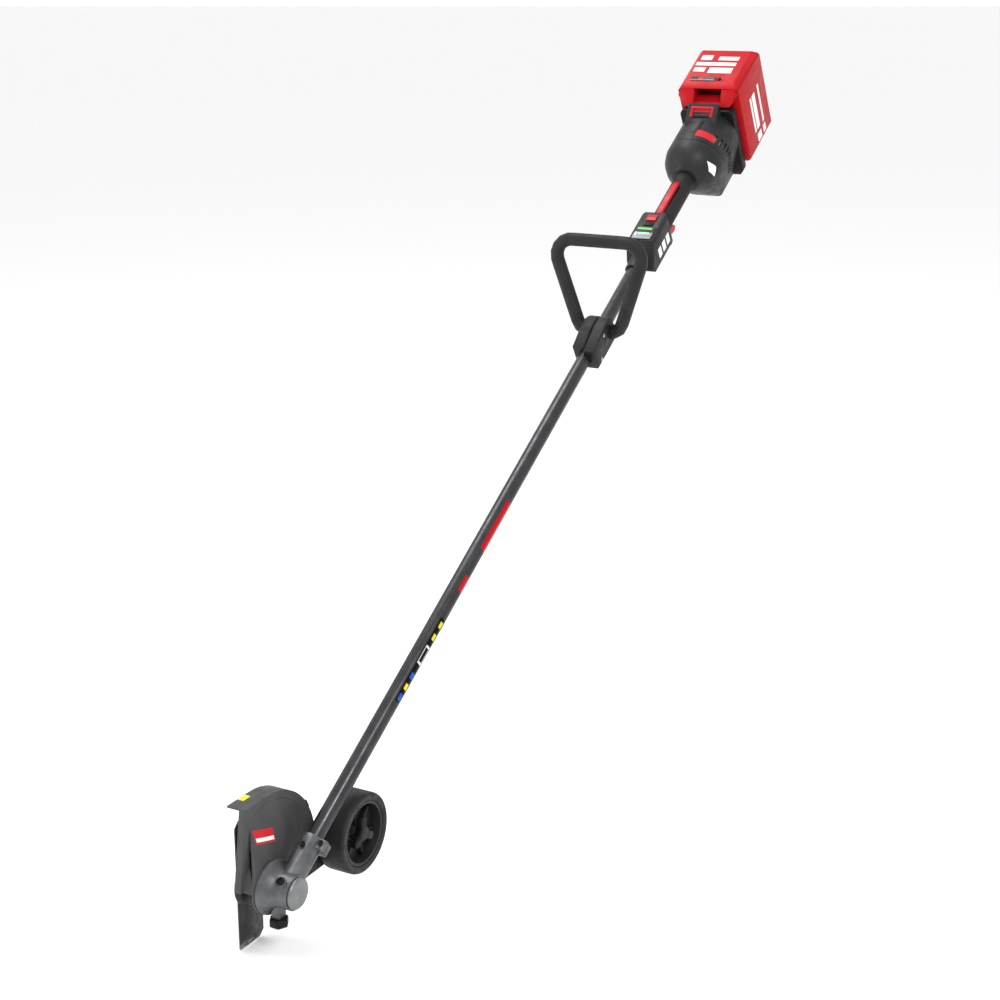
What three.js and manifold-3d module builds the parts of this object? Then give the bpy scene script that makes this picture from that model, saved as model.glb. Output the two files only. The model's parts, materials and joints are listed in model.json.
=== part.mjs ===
// Battery lawn edger: a long shaft with a bevel-gear head, blade guard and wheel at the
// front, a loop handle in the middle, and controls, motor and battery at the rear.
// Millimetres, +X to the operator's right, +Y forward, +Z up, origin at the rear grip.
// Pieces on the shaft are drawn in its own frame: X across, Y square to the shaft on its
// upper side, Z back along the shaft from the point where the blade spindle crosses it.
import * as THREE from 'three';
import { mergeVertices } from 'three/addons/utils/BufferGeometryUtils.js';
import Module from 'manifold-3d';

const wasm = await Module();
wasm.setup();

// Driving dimensions
const SHAFT_ANGLE = THREE.MathUtils.degToRad(32);
const GRIP_PLACE = 1560;      // spindle back to the origin, on the rear grip's axis
const FIT = 0.3;              // gap between pieces that touch or turn in one another
const SPLIT = 0.15;           // half the joint line between two half shells

const TUBE_RADIUS = 13;
const TUBE_WALL = 1.3;
const TUBE_FRONT = 34;
const DRIVE_RADIUS = 4;
const BUSH_LENGTH = 22;
const BUSH_PLACES = [520, 1100];

const CASE_RADIUS = 26;
const CASE_LEFT = -20;
const CASE_RIGHT = 18;
const CASE_WALL = 5;
const FLANGE_RADIUS = 41;
const FLANGE_THICK = 6;
const CAP_THICK = 6;
const SLEEVE_RADIUS = 18;
const SLEEVE_END = 88;
const SLEEVE_SCREW = 67;
const PINCH_BOLT = [-21, 80];   // across and along the shaft
const PINCH_LOW = -13;
const PINCH_HIGH = 9;
const SLEEVE_SLOT = 46;
const PLUG_BOSS = [-7, -3];     // across and along the shaft
const PLUG_RADIUS = 8;
const PLUG_TOP = 30.5;
const BEARING_WIDTH = 8;
const PINION_BEARING = 22.5;
const PINION_BEARING_RADIUS = 11;
const SPINDLE_BEARING_RADIUS = 13;
const SPINDLE_RADIUS = 5;
const SPINDLE_LEFT = -17;
const SPINDLE_RIGHT = 80;
const BEARING_LEFT_WIDTH = 6;

const GEAR_TEETH = 20;
const PINION_TEETH = 12;
const GEAR_MODULE = 1.5;
const GEAR_FACE = 0.35;       // face width as a share of the cone
const TOOTH_RISE = 1.0;       // tip above the pitch cone
const TOOTH_DROP = 1.4;       // root below the pitch cone
const TOOTH_FILL = 0.36;      // tooth thickness as a share of the pitch

const BLADE_LENGTH = 203;
const BLADE_WIDTH = 56;
const BLADE_THICK = 2.8;
const BLADE_PLACE = 62;       // inner face of the blade
const BLADE_CORNER = 9;
const BLADE_FLANGE_RADIUS = 38;
const BLADE_FLANGE_THICK = 8;
const BLADE_HUB_RADIUS = 9;
const BLADE_WASHER_RADIUS = 18;
const BLADE_WASHER_THICK = 3;
const BLADE_NUT_RADIUS = 9.8;
const BLADE_NUT_THICK = 8;

const GUARD_RADIUS = 115;
const GUARD_CENTRE = [-25, 12];
const GUARD_WALL = 43;        // inner face of the guard's flat wall
const GUARD_THICK = 3;
const GUARD_DEPTH = 75;       // outer edge of the guard's rim
const GUARD_REAR_ANGLE = THREE.MathUtils.degToRad(167);
const GUARD_VISOR = 53;       // straight front of the rim
const GUARD_LEG = [47, 4];    // foot of the wall's front edge
const GUARD_ARCH_RADIUS = 37;
const GUARD_HUB_RADIUS = 42;
const GUARD_DISH_RADIUS = 92;
const GUARD_DISH_FRONT = 18;
const GUARD_DISH_LOW = 12;
const GUARD_LIP = 8;
const GUARD_SCREW_CIRCLE = 35;
const GUARD_HOLE = 13;
const SCREW_RADIUS = 2.5;
const SCREW_HEAD_RADIUS = 4.2;
const SCREW_HEAD = 3.5;

const FLAP_THICK = 3;
const FLAP_TOP_ANGLE = THREE.MathUtils.degToRad(148);
const FLAP_LOW_ANGLE = THREE.MathUtils.degToRad(178);
const FLAP_LEFT = 48;
const STRIP_THICK = 2;
const RIVET_RADIUS = 1.6;
const STRIP_LOW_ANGLE = THREE.MathUtils.degToRad(155);
const GUARD_KNOB_RADIUS = 15;
const GUARD_KNOB_PLACE = [8, 6];
const GUARD_KNOB_THICK = 14;
const KNOB_BLOCK_LOW = -42;

const ARM_PLACE = 31;
const ARM_THICK = 6;
const ARM_BOLTS = [[-80, -18], [-108, -9]];
const ARM_BOSS_RADIUS = 8;
const SLOT_LOW = -24;
const SLOT_HIGH = 20;
const WHEEL_CENTRE = [-183, 11];
const WHEEL_RADIUS = 63.4;
const WHEEL_LEFT = -20;
const WHEEL_RIGHT = 28;
const WHEEL_RIM_RADIUS = 51;
const WHEEL_RIM_WALL = 5;
const WHEEL_WEB = 4;
const WHEEL_BOSS_RADIUS = 14;
const AXLE_COLLAR_RADIUS = 10;
const AXLE_RADIUS = 4;
const AXLE_NUT_RADIUS = 9;
const AXLE_NUT_THICK = 6;
const KNOB_RADIUS = 28;
const KNOB_LEFT = -18;
const KNOB_THICK = 10;

const LOOP_PLACE = 1205;
const LOOP_TILT = THREE.MathUtils.degToRad(27.6);
const LOOP_RADIUS = 12.25;
const LOOP_WALL_END = 17;     // where the loop's ends stop beside the shaft
const LOOP_LOW_HALF = 38.7;
const LOOP_TOP_HALF = 95.7;
const LOOP_HEIGHT = 165.7;
const LOOP_LOW_BEND = 22;
const LOOP_TOP_BEND = 30;
const CLAMP_HALF = 24;
const CLAMP_FRONT = LOOP_PLACE - 67;
const CLAMP_REAR = LOOP_PLACE + 17;
const CLAMP_TAIL = 8;         // the left half reaches this much farther forward
const CLAMP_LOW = TUBE_RADIUS + 8;
const CLAMP_NOSE = TUBE_RADIUS + 6;
const CLAMP_TOP = TUBE_RADIUS + 16;
const CLAMP_GAP = 0.8;
const CLAMP_SCREWS = [LOOP_PLACE - 55, LOOP_PLACE - 27];
const CLAMP_SCREW_HEIGHT = TUBE_RADIUS + 4.5;

const BOX_HALF = 28;
const BOX_WALL = 3;
const BOX_TOP = 34;
const BOX_BOTTOM = -30;
const BOX_FRONT = 1392;
const BOX_TOP_FRONT = BOX_FRONT + 32;
const BOX_CHIN = [-18, BOX_FRONT + 6];   // where the cut-off lower front corner ends
const BOX_CHIN_REAR = BOX_FRONT + 18;
const BOX_REAR = BOX_FRONT + 116;
const BOX_TOP_REAR = BOX_REAR - 2;
const BOX_CORNER = 16;
const BOX_EDGE = 8;
const COLLAR_FRONT = BOX_FRONT - 20;
const COLLAR_RADIUS = TUBE_RADIUS + 4;
const DISPLAY_HALF = 19.5;
const DISPLAY = [BOX_TOP_FRONT + 2, BOX_TOP_FRONT + 38];
const MODE_BUTTON = { half: 9, front: BOX_REAR - 42, rear: BOX_REAR - 33, top: 36 };
const POWER_BUTTON = { half: 10, front: BOX_REAR - 28, rear: BOX_REAR - 12, top: 37 };

const GRIP_RADIUS = TUBE_RADIUS + 7.5;
const GRIP_REAR = BOX_REAR + 142;
const TRIGGER_HALF = 6;
const TRIGGER_PIVOT = [-23, BOX_REAR - 18];
const TRIGGER_PIN_RADIUS = 2;
const LEVER_HALF = 6;
const LEVER_FRONT = BOX_REAR + 5;
const LEVER_PIVOT = [TUBE_RADIUS + 4.5, BOX_REAR + 102];
const LEVER_STUB_RADIUS = 1.3;
const LEVER_TOP = TUBE_RADIUS + 12;

const TUBE_REAR = GRIP_REAR + 14;
const NECK_WALL = 4;
const NECK_REAR = TUBE_REAR + 12;
const NOSE_RADIUS = TUBE_RADIUS + 14;
const DRUM_RADIUS = 59;
const DRUM_WALL = 3;
const DRUM_SEAM = GRIP_REAR + 61.3;   // where the joint line crosses the shaft's axis
const SEAM_SLOPE = 0.1;
const DRUM_REAR = GRIP_REAR + 147;
const BELLY_CORNER = [24, -85];
const BELLY_RADIUS = 12;
const BELLY_FRONT = GRIP_REAR + 77;
const BOARD_HALF = 26;
const STATOR_INNER = 27;
const STATOR_FRONT = GRIP_REAR + 72;
const STATOR_LENGTH = 34;
const FAN_FRONT = STATOR_FRONT + STATOR_LENGTH + 6;
const FAN_RADIUS = 48;
const FAN_DEPTH = 16;
const FAN_BLADES = 9;
const VENTS = { count: 10, top: 38, pitch: 10.5, height: 5, length: 17, place: DRUM_SEAM + 22 };

// The ramp that carries the latch: its two ends, up from the shaft and along it.
const RAMP_HALF = 32;
const RAMP_FRONT = [58, DRUM_REAR - 33];
const RAMP_REAR = [77, DRUM_REAR];
const LATCH = { half: 24, front: 8, rear: 31, low: -3, high: 1.5, pocket: -6, window: 5 };

const DOCK_HALF = 56;
const DOCK_TOP = 58;
const DOCK_BOTTOM = -92;
const DOCK_FRONT = DRUM_REAR + FIT;
const DOCK_REAR = DRUM_REAR + 18;
const RAIL_LOW = -80;
const RAIL_HIGH = 40;
const RAIL_INNER = 20;
const RAIL_OUTER = 32;
const RAIL_REAR = DOCK_REAR + 23;
const FOOT_THICK = 6;
const BATTERY_HALF = 64;
const BATTERY_FRONT = DOCK_REAR + 11;
const BATTERY_REAR = BATTERY_FRONT + 129;
const BATTERY_TOP = 98;
const BATTERY_BOTTOM = -88;
const BATTERY_CORNER = 12;
const CHIN_LOW = [62, BATTERY_FRONT - 20];
const CHIN_HIGH = [92, BATTERY_FRONT + 4];
const CHIN_HALF = 48;
const RECESS_HALF = 29;
const RECESS_LOW = 66;
const RECESS_HIGH = 91;
const RECESS_DEPTH = 15;
const GAUGE = { left: -10, right: 42, front: BATTERY_FRONT + 16, rear: BATTERY_FRONT + 29 };
const GAUGE_BUTTON = { radius: 4, place: [-18, BATTERY_FRONT + 22.5] };
const ARC_STEPS = 8;          // on the guard's long arcs

// Solids
function toSolid(geometry) {
  const plain = geometry.clone();
  plain.deleteAttribute('normal');
  plain.deleteAttribute('uv');
  const merged = mergeVertices(plain, 1e-4);
  const corners = [];
  const source = merged.index.array;
  for (let i = 0; i < source.length; i += 3) {
    const [a, b, c] = [source[i], source[i + 1], source[i + 2]];
    if (a !== b && b !== c && c !== a) corners.push(a, b, c);
  }
  const build = (order) => new wasm.Manifold(new wasm.Mesh({
    numProp: 3,
    vertProperties: new Float32Array(merged.attributes.position.array),
    triVerts: new Uint32Array(order),
  }));
  const solid = build(corners);
  return solid.volume() > 0 ? solid : build(corners.slice().reverse());
}

function toGeometry(solid) {
  const mesh = solid.getMesh();
  const geometry = new THREE.BufferGeometry();
  geometry.setAttribute('position', new THREE.BufferAttribute(mesh.vertProperties, mesh.numProp));
  geometry.setIndex(new THREE.BufferAttribute(mesh.triVerts, 1));
  geometry.computeVertexNormals();
  return geometry;
}

const moved = (solid, matrix) => toSolid(toGeometry(solid).applyMatrix4(matrix));
const joined = (...solids) => solids.reduce((whole, next) => whole.add(next));
const wrapped = (...solids) => wasm.Manifold.hull(solids);

function block([x0, x1], [y0, y1], [z0, z1]) {
  const geometry = new THREE.BoxGeometry(x1 - x0, y1 - y0, z1 - z0);
  return toSolid(geometry.translate((x0 + x1) / 2, (y0 + y1) / 2, (z0 + z1) / 2));
}

// A turned piece: the profile lists [radius, distance along the axis].
function turned(axis, profile, at = [0, 0, 0], sides = 24) {
  const points = profile.map(([radius, along]) => new THREE.Vector2(radius, along));
  const geometry = new THREE.LatheGeometry(points, sides);
  if (axis === 'z') geometry.rotateX(Math.PI / 2);
  if (axis === 'x') geometry.rotateZ(-Math.PI / 2);
  return toSolid(geometry.translate(...at));
}

const rod = (axis, radius, from, to, at, sides) => (
  turned(axis, [[0, from], [radius, from], [radius, to], [0, to]], at, sides));

const ring = (axis, outer, inner, from, to, at, sides) => (
  turned(axis, [[inner, from], [outer, from], [outer, to], [inner, to], [inner, from]], at, sides));

// A prism of an outline, given as points or a shape: (y, z) along x, (x, y) along z.
function prism(axis, outline, from, to, bevel = 0, arcSteps = 2) {
  const shape = Array.isArray(outline)
    ? new THREE.Shape(outline.map(([u, v]) => new THREE.Vector2(u, v))) : outline;
  const geometry = new THREE.ExtrudeGeometry(shape, {
    depth: to - from - 2 * bevel,
    curveSegments: arcSteps,
    bevelEnabled: bevel > 0,
    bevelThickness: bevel,
    bevelSize: bevel,
    bevelOffset: -bevel,
    bevelSegments: 1,
  });
  geometry.translate(0, 0, from + bevel);
  const [x, y, z] = [[1, 0, 0], [0, 1, 0], [0, 0, 1]].map((v) => new THREE.Vector3(...v));
  if (axis === 'x') geometry.applyMatrix4(new THREE.Matrix4().makeBasis(y, z, x));
  return toSolid(geometry);
}

function roundedRectangle([u0, u1], [v0, v1], radius) {
  const shape = new THREE.Shape();
  shape.absarc(u1 - radius, v0 + radius, radius, -Math.PI / 2, 0);
  shape.absarc(u1 - radius, v1 - radius, radius, 0, Math.PI / 2);
  shape.absarc(u0 + radius, v1 - radius, radius, Math.PI / 2, Math.PI);
  shape.absarc(u0 + radius, v0 + radius, radius, Math.PI, 1.5 * Math.PI);
  return shape;
}

// The inside of a convex outline, a wall's thickness in from every edge.
function inset(outline, wall) {
  const area = outline.reduce((sum, [u, v], i) => {
    const [nextU, nextV] = outline[(i + 1) % outline.length];
    return sum + u * nextV - nextU * v;
  }, 0);
  const side = Math.sign(area);
  const lines = outline.map(([u, v], i) => {
    const [nextU, nextV] = outline[(i + 1) % outline.length];
    const length = Math.hypot(nextU - u, nextV - v);
    const normal = [-side * (nextV - v) / length, side * (nextU - u) / length];
    return [...normal, normal[0] * u + normal[1] * v + wall];
  });
  return lines.map(([a, b, c], i) => {
    const [d, e, f] = lines[(i + lines.length - 1) % lines.length];
    const det = a * e - b * d;
    return [(c * e - b * f) / det, (a * f - c * d) / det];
  });
}

const hexagon = (radius) => (
  [0, 1, 2, 3, 4, 5].map((i) => [radius * Math.cos(i * Math.PI / 3), radius * Math.sin(i * Math.PI / 3)]));

function screw(axis, from, to, at, side) {
  const head = side > 0 ? [to, to + SCREW_HEAD] : [from - SCREW_HEAD, from];
  return joined(rod(axis, SCREW_RADIUS, from, to, at, 12),
    rod(axis, SCREW_HEAD_RADIUS, head[0], head[1], at, 14));
}

// Scene
const finish = (color, roughness, metalness) => (
  new THREE.MeshStandardMaterial({ color, roughness, metalness }));
const tubePaint = [0x4a4b4e, 0.35, 0.8];
const cast = [0xa5a7a8, 0.5, 0.7];
const steel = [0x8d9094, 0.35, 0.9];
const darkSteel = [0x3c3d40, 0.45, 0.8];
const greyPlastic = [0x5a5b5d, 0.6, 0];
const darkPlastic = [0x2b2c2e, 0.55, 0];
const blackPlastic = [0x17181a, 0.5, 0];
const redPlastic = [0xd22a2e, 0.4, 0];
const rubber = [0x1c1c1c, 0.9, 0];
const copper = [0xb26a3a, 0.4, 0.7];
const board = [0x1f5a3a, 0.5, 0];
const glass = [0x101418, 0.15, 0];

const machine = new THREE.Group();
const head = new THREE.Group();
const shaft = new THREE.Group();
shaft.rotation.x = Math.PI / 2 - SHAFT_ANGLE;
shaft.updateMatrix();
machine.add(head, shaft);

function add(group, name, solid, material) {
  const mesh = new THREE.Mesh(toGeometry(solid), finish(...material));
  mesh.name = name;
  group.add(mesh);
}

const clear = (value) => value + FIT;
const boreAlong = (axis, radius, from, to, at, sides) => rod(axis, clear(radius), from, to, at, sides);

// Shaft and drive line
function addShaft() {
  const tube = ring('z', TUBE_RADIUS, TUBE_RADIUS - TUBE_WALL, TUBE_FRONT, TUBE_REAR);
  const screwHole = boreAlong('y', SCREW_RADIUS, 0, TUBE_RADIUS + 1, [0, 0, SLEEVE_SCREW], 12);
  add(shaft, 'shaft_tube', tube.subtract(screwHole), tubePaint);
  BUSH_PLACES.forEach((place, i) => {
    const bush = ring('z', TUBE_RADIUS - TUBE_WALL - FIT, clear(DRIVE_RADIUS), place, place + BUSH_LENGTH,
      [0, 0, 0], 18);
    add(shaft, `shaft_bush_${i + 1}`, bush, rubber);
  });
}

// A straight bevel gear: the outline shrinks towards the point where the two axes cross.
function bevelTeeth(teeth, mateTeeth) {
  const pitch = teeth * GEAR_MODULE / 2;
  const away = mateTeeth * GEAR_MODULE / 2;
  const slope = Math.hypot(pitch, away) / away;
  const tip = pitch + TOOTH_RISE * slope;
  const root = pitch - TOOTH_DROP * slope;
  const step = 2 * Math.PI / teeth;
  const outline = [];
  for (let i = 0; i < teeth; i += 1) {
    const middle = i * step;
    const foot = 0.62 * TOOTH_FILL * step;
    const crest = 0.34 * TOOTH_FILL * step;
    for (const [radius, turn] of [[root, -foot], [tip, -crest], [tip, crest], [root, foot]]) {
      outline.push([radius * Math.cos(middle + turn), radius * Math.sin(middle + turn)]);
    }
  }
  const depth = away * GEAR_FACE;
  const shape = new THREE.Shape(outline.map(([u, v]) => new THREE.Vector2(u, v)));
  const geometry = new THREE.ExtrudeGeometry(shape, { depth, bevelEnabled: false });
  const place = geometry.attributes.position;
  for (let i = 0; i < place.count; i += 1) {
    const along = away - depth + place.getZ(i);
    const scale = along / away;
    place.setXYZ(i, place.getX(i) * scale, place.getY(i) * scale, along);
  }
  return { geometry, away, root };
}

function addDriveLine() {
  const teeth = bevelTeeth(PINION_TEETH, GEAR_TEETH);
  // A tooth space faces +X, where the gear's tooth comes in.
  teeth.geometry.rotateZ(Math.PI / PINION_TEETH);
  const hubEnd = PINION_BEARING - FIT;
  const hub = rod('z', teeth.root, teeth.away, hubEnd, [0, 0, 0], 18);
  const shaftFront = teeth.away + 2;
  const blind = boreAlong('z', DRIVE_RADIUS, shaftFront - FIT, hubEnd + 1, [0, 0, 0], 18);
  add(shaft, 'bevel_pinion', toSolid(teeth.geometry).add(hub).subtract(blind), steel);
  add(shaft, 'drive_shaft', rod('z', DRIVE_RADIUS, shaftFront, DRUM_REAR - BEARING_WIDTH / 2,
    [0, 0, 0], 14), steel);
  const rotor = ring('z', STATOR_INNER - 1, clear(DRIVE_RADIUS), STATOR_FRONT - 1,
    STATOR_FRONT + STATOR_LENGTH + 1);
  add(shaft, 'rotor', rotor, darkSteel);
  const hubRadius = BLADE_HUB_RADIUS;
  let fan = joined(ring('z', hubRadius, clear(DRIVE_RADIUS), FAN_FRONT, FAN_FRONT + FAN_DEPTH),
    ring('z', FAN_RADIUS, hubRadius - 2, FAN_FRONT + 1, FAN_FRONT + 3));
  for (let i = 0; i < FAN_BLADES; i += 1) {
    const vane = block([hubRadius - 1, FAN_RADIUS], [-1, 1], [FAN_FRONT + 2, FAN_FRONT + FAN_DEPTH - 1]);
    const turn = new THREE.Matrix4().makeRotationZ(i * 2 * Math.PI / FAN_BLADES);
    fan = fan.add(moved(vane, turn));
  }
  add(shaft, 'cooling_fan', fan, blackPlastic);
}

// Gear case
function addGearCase() {
  const cavity = CASE_RADIUS - CASE_WALL;
  const bearingLeft = CASE_RIGHT + FLANGE_THICK - 2 - BEARING_WIDTH;
  const [knobX, knobY] = GUARD_KNOB_PLACE;
  const [pinchX, pinchT] = PINCH_BOLT;
  const [plugX, plugT] = PLUG_BOSS;
  const tab = moved(block([knobX - 7, knobX + 7], [knobY - 8, knobY + 8], [KNOB_BLOCK_LOW, -20]),
    shaft.matrix.clone().invert());
  let body = joined(rod('x', CASE_RADIUS, CASE_LEFT, CASE_RIGHT),
    turned('x', [[0, 0], [CASE_RADIUS - 1, 0], [CASE_RADIUS + 3, CASE_RIGHT - 8],
      [FLANGE_RADIUS - 3, CASE_RIGHT - 1], [FLANGE_RADIUS, CASE_RIGHT + 1],
      [FLANGE_RADIUS, CASE_RIGHT + FLANGE_THICK], [0, CASE_RIGHT + FLANGE_THICK]], [0, 0, 0], 32),
    rod('z', SLEEVE_RADIUS, 0, SLEEVE_END),
    prism('z', roundedRectangle([pinchX - 7, -10], [PINCH_LOW, PINCH_HIGH], 5), pinchT - 9, SLEEVE_END - 1),
    rod('y', PLUG_RADIUS, CASE_RADIUS - CASE_WALL, PLUG_TOP, [plugX, 0, plugT], 18),
    tab);
  const cuts = [
    rod('x', cavity, CASE_LEFT - 1, bearingLeft - FIT),
    boreAlong('x', SPINDLE_BEARING_RADIUS, bearingLeft - 1, bearingLeft + BEARING_WIDTH + FIT),
    rod('x', BLADE_HUB_RADIUS + 1, CASE_RIGHT, CASE_RIGHT + FLANGE_THICK + 1),
    boreAlong('z', PINION_BEARING_RADIUS, 0, PINION_BEARING + BEARING_WIDTH + FIT),
    rod('z', BLADE_HUB_RADIUS, 0, TUBE_FRONT),
    boreAlong('z', TUBE_RADIUS, TUBE_FRONT - FIT, SLEEVE_END + 1),
    boreAlong('y', SCREW_RADIUS, 0, SLEEVE_RADIUS + 1, [0, 0, SLEEVE_SCREW], 12),
    boreAlong('y', SCREW_RADIUS, PINCH_LOW - 1, PINCH_HIGH + 1, [pinchX, 0, pinchT], 12),
    block([pinchX - 8, -12], [-0.8, 0.8], [SLEEVE_SLOT, SLEEVE_END + 1]),
    rod('y', PLUG_RADIUS / 2, PLUG_TOP - 3, PLUG_TOP + 1, [plugX, 0, plugT], 6),
  ];
  guardScrewPlaces().forEach((at) => cuts.push(
    moved(boreAlong('x', SCREW_RADIUS, CASE_RIGHT - 2, CASE_RIGHT + FLANGE_THICK + 1, at, 12),
      shaft.matrix.clone().invert())));
  cuts.forEach((cut) => { body = body.subtract(cut); });
  add(shaft, 'gear_case', body, cast);

  const capFace = CASE_LEFT - FIT;
  const seat = SPINDLE_LEFT + BEARING_LEFT_WIDTH;
  const cap = joined(
    turned('x', [[0, capFace - CAP_THICK], [CASE_RADIUS - 5, capFace - CAP_THICK],
      [CASE_RADIUS - 2, capFace - 3], [CASE_RADIUS - 2, capFace], [0, capFace]]),
    ring('x', cavity - FIT, clear(PINION_BEARING_RADIUS), capFace - 1, seat));
  add(shaft, 'gear_case_end_cap', cap, cast);
  add(shaft, 'spindle_bearing_left', ring('x', PINION_BEARING_RADIUS, clear(SPINDLE_RADIUS),
    SPINDLE_LEFT, seat), steel);
  add(shaft, 'spindle_bearing_right', ring('x', SPINDLE_BEARING_RADIUS, clear(SPINDLE_RADIUS),
    bearingLeft, bearingLeft + BEARING_WIDTH), steel);
  add(shaft, 'pinion_bearing', ring('z', PINION_BEARING_RADIUS, clear(DRIVE_RADIUS),
    PINION_BEARING, PINION_BEARING + BEARING_WIDTH), steel);
  add(shaft, 'sleeve_pinch_bolt', screw('y', PINCH_LOW + 2, PINCH_HIGH + FIT,
    [pinchX, 0, pinchT], 1), darkSteel);
  add(shaft, 'sleeve_locating_screw', screw('y', TUBE_RADIUS - TUBE_WALL, SLEEVE_RADIUS + FIT,
    [0, 0, SLEEVE_SCREW], 1), darkSteel);
  const knobTop = KNOB_BLOCK_LOW - FIT;
  const knob = moved(prism('z', hexagon(GUARD_KNOB_RADIUS), knobTop - GUARD_KNOB_THICK, knobTop, 2),
    new THREE.Matrix4().makeTranslation(knobX, knobY, 0));
  add(head, 'guard_knob', knob, blackPlastic);
}

// Blade and its spindle
function addBlade() {
  const gearBore = boreAlong('x', SPINDLE_RADIUS, -5, CASE_RIGHT + 1);
  const teeth = bevelTeeth(GEAR_TEETH, PINION_TEETH);
  teeth.geometry.rotateY(Math.PI / 2);
  const hubEnd = CASE_RIGHT + FLANGE_THICK - 2 - BEARING_WIDTH - FIT;
  const hub = rod('x', BLADE_HUB_RADIUS, teeth.away, hubEnd, [0, 0, 0], 18);
  add(shaft, 'bevel_gear', toSolid(teeth.geometry).add(hub).subtract(gearBore), steel);
  add(head, 'spindle', rod('x', SPINDLE_RADIUS, SPINDLE_LEFT, SPINDLE_RIGHT, [0, 0, 0], 18), steel);

  const bore = boreAlong('x', SPINDLE_RADIUS, CASE_RIGHT, SPINDLE_RIGHT, [0, 0, 0], 18);
  const flangeEnd = BLADE_PLACE - FIT;
  const flangeBack = flangeEnd - BLADE_FLANGE_THICK;
  const flange = turned('x', [[0, CASE_RIGHT + FLANGE_THICK - 2 + FIT],
    [BLADE_HUB_RADIUS, CASE_RIGHT + FLANGE_THICK - 2 + FIT], [BLADE_HUB_RADIUS, flangeBack - 4],
    [BLADE_FLANGE_RADIUS - 4, flangeBack], [BLADE_FLANGE_RADIUS, flangeEnd - 3],
    [BLADE_FLANGE_RADIUS, flangeEnd], [0, flangeEnd]]);
  add(head, 'blade_flange', flange.subtract(bore), darkSteel);
  const [w, l, c] = [BLADE_WIDTH / 2, BLADE_LENGTH / 2, BLADE_CORNER];
  const outline = [[-w, -l + c], [-w + c, -l], [w, -l], [w, l - c], [w - c, l], [-w, l]];
  add(head, 'blade', prism('x', outline, BLADE_PLACE, BLADE_PLACE + BLADE_THICK).subtract(bore), darkSteel);
  const washer = BLADE_PLACE + BLADE_THICK + FIT;
  const nut = washer + BLADE_WASHER_THICK;
  add(head, 'blade_nut', joined(rod('x', BLADE_WASHER_RADIUS, washer, nut),
    prism('x', hexagon(BLADE_NUT_RADIUS), nut - 1, nut + BLADE_NUT_THICK)).subtract(bore), steel);
}

// Guard
function guardScrewPlaces() {
  return [135, 315].map((degrees) => {
    const turn = THREE.MathUtils.degToRad(degrees);
    return [0, GUARD_SCREW_CIRCLE * Math.cos(turn), GUARD_SCREW_CIRCLE * Math.sin(turn)];
  });
}

const onGuard = (radius, angle) => (
  [GUARD_CENTRE[0] + radius * Math.cos(angle), GUARD_CENTRE[1] + radius * Math.sin(angle)]);

function arcBand(outer, inner, from, to) {
  const shape = new THREE.Shape();
  shape.absarc(...GUARD_CENTRE, outer, from, to, false);
  shape.absarc(...GUARD_CENTRE, inner, to, from, true);
  return shape;
}

// A small cylinder pointing out from the guard's centre, at an angle and a place across.
function radialRod(radius, from, to, angle, across) {
  const turn = new THREE.Matrix4().makeTranslation(across, ...GUARD_CENTRE)
    .multiply(new THREE.Matrix4().makeRotationX(angle));
  return moved(rod('y', radius, from, to, [0, 0, 0], 12), turn);
}

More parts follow.
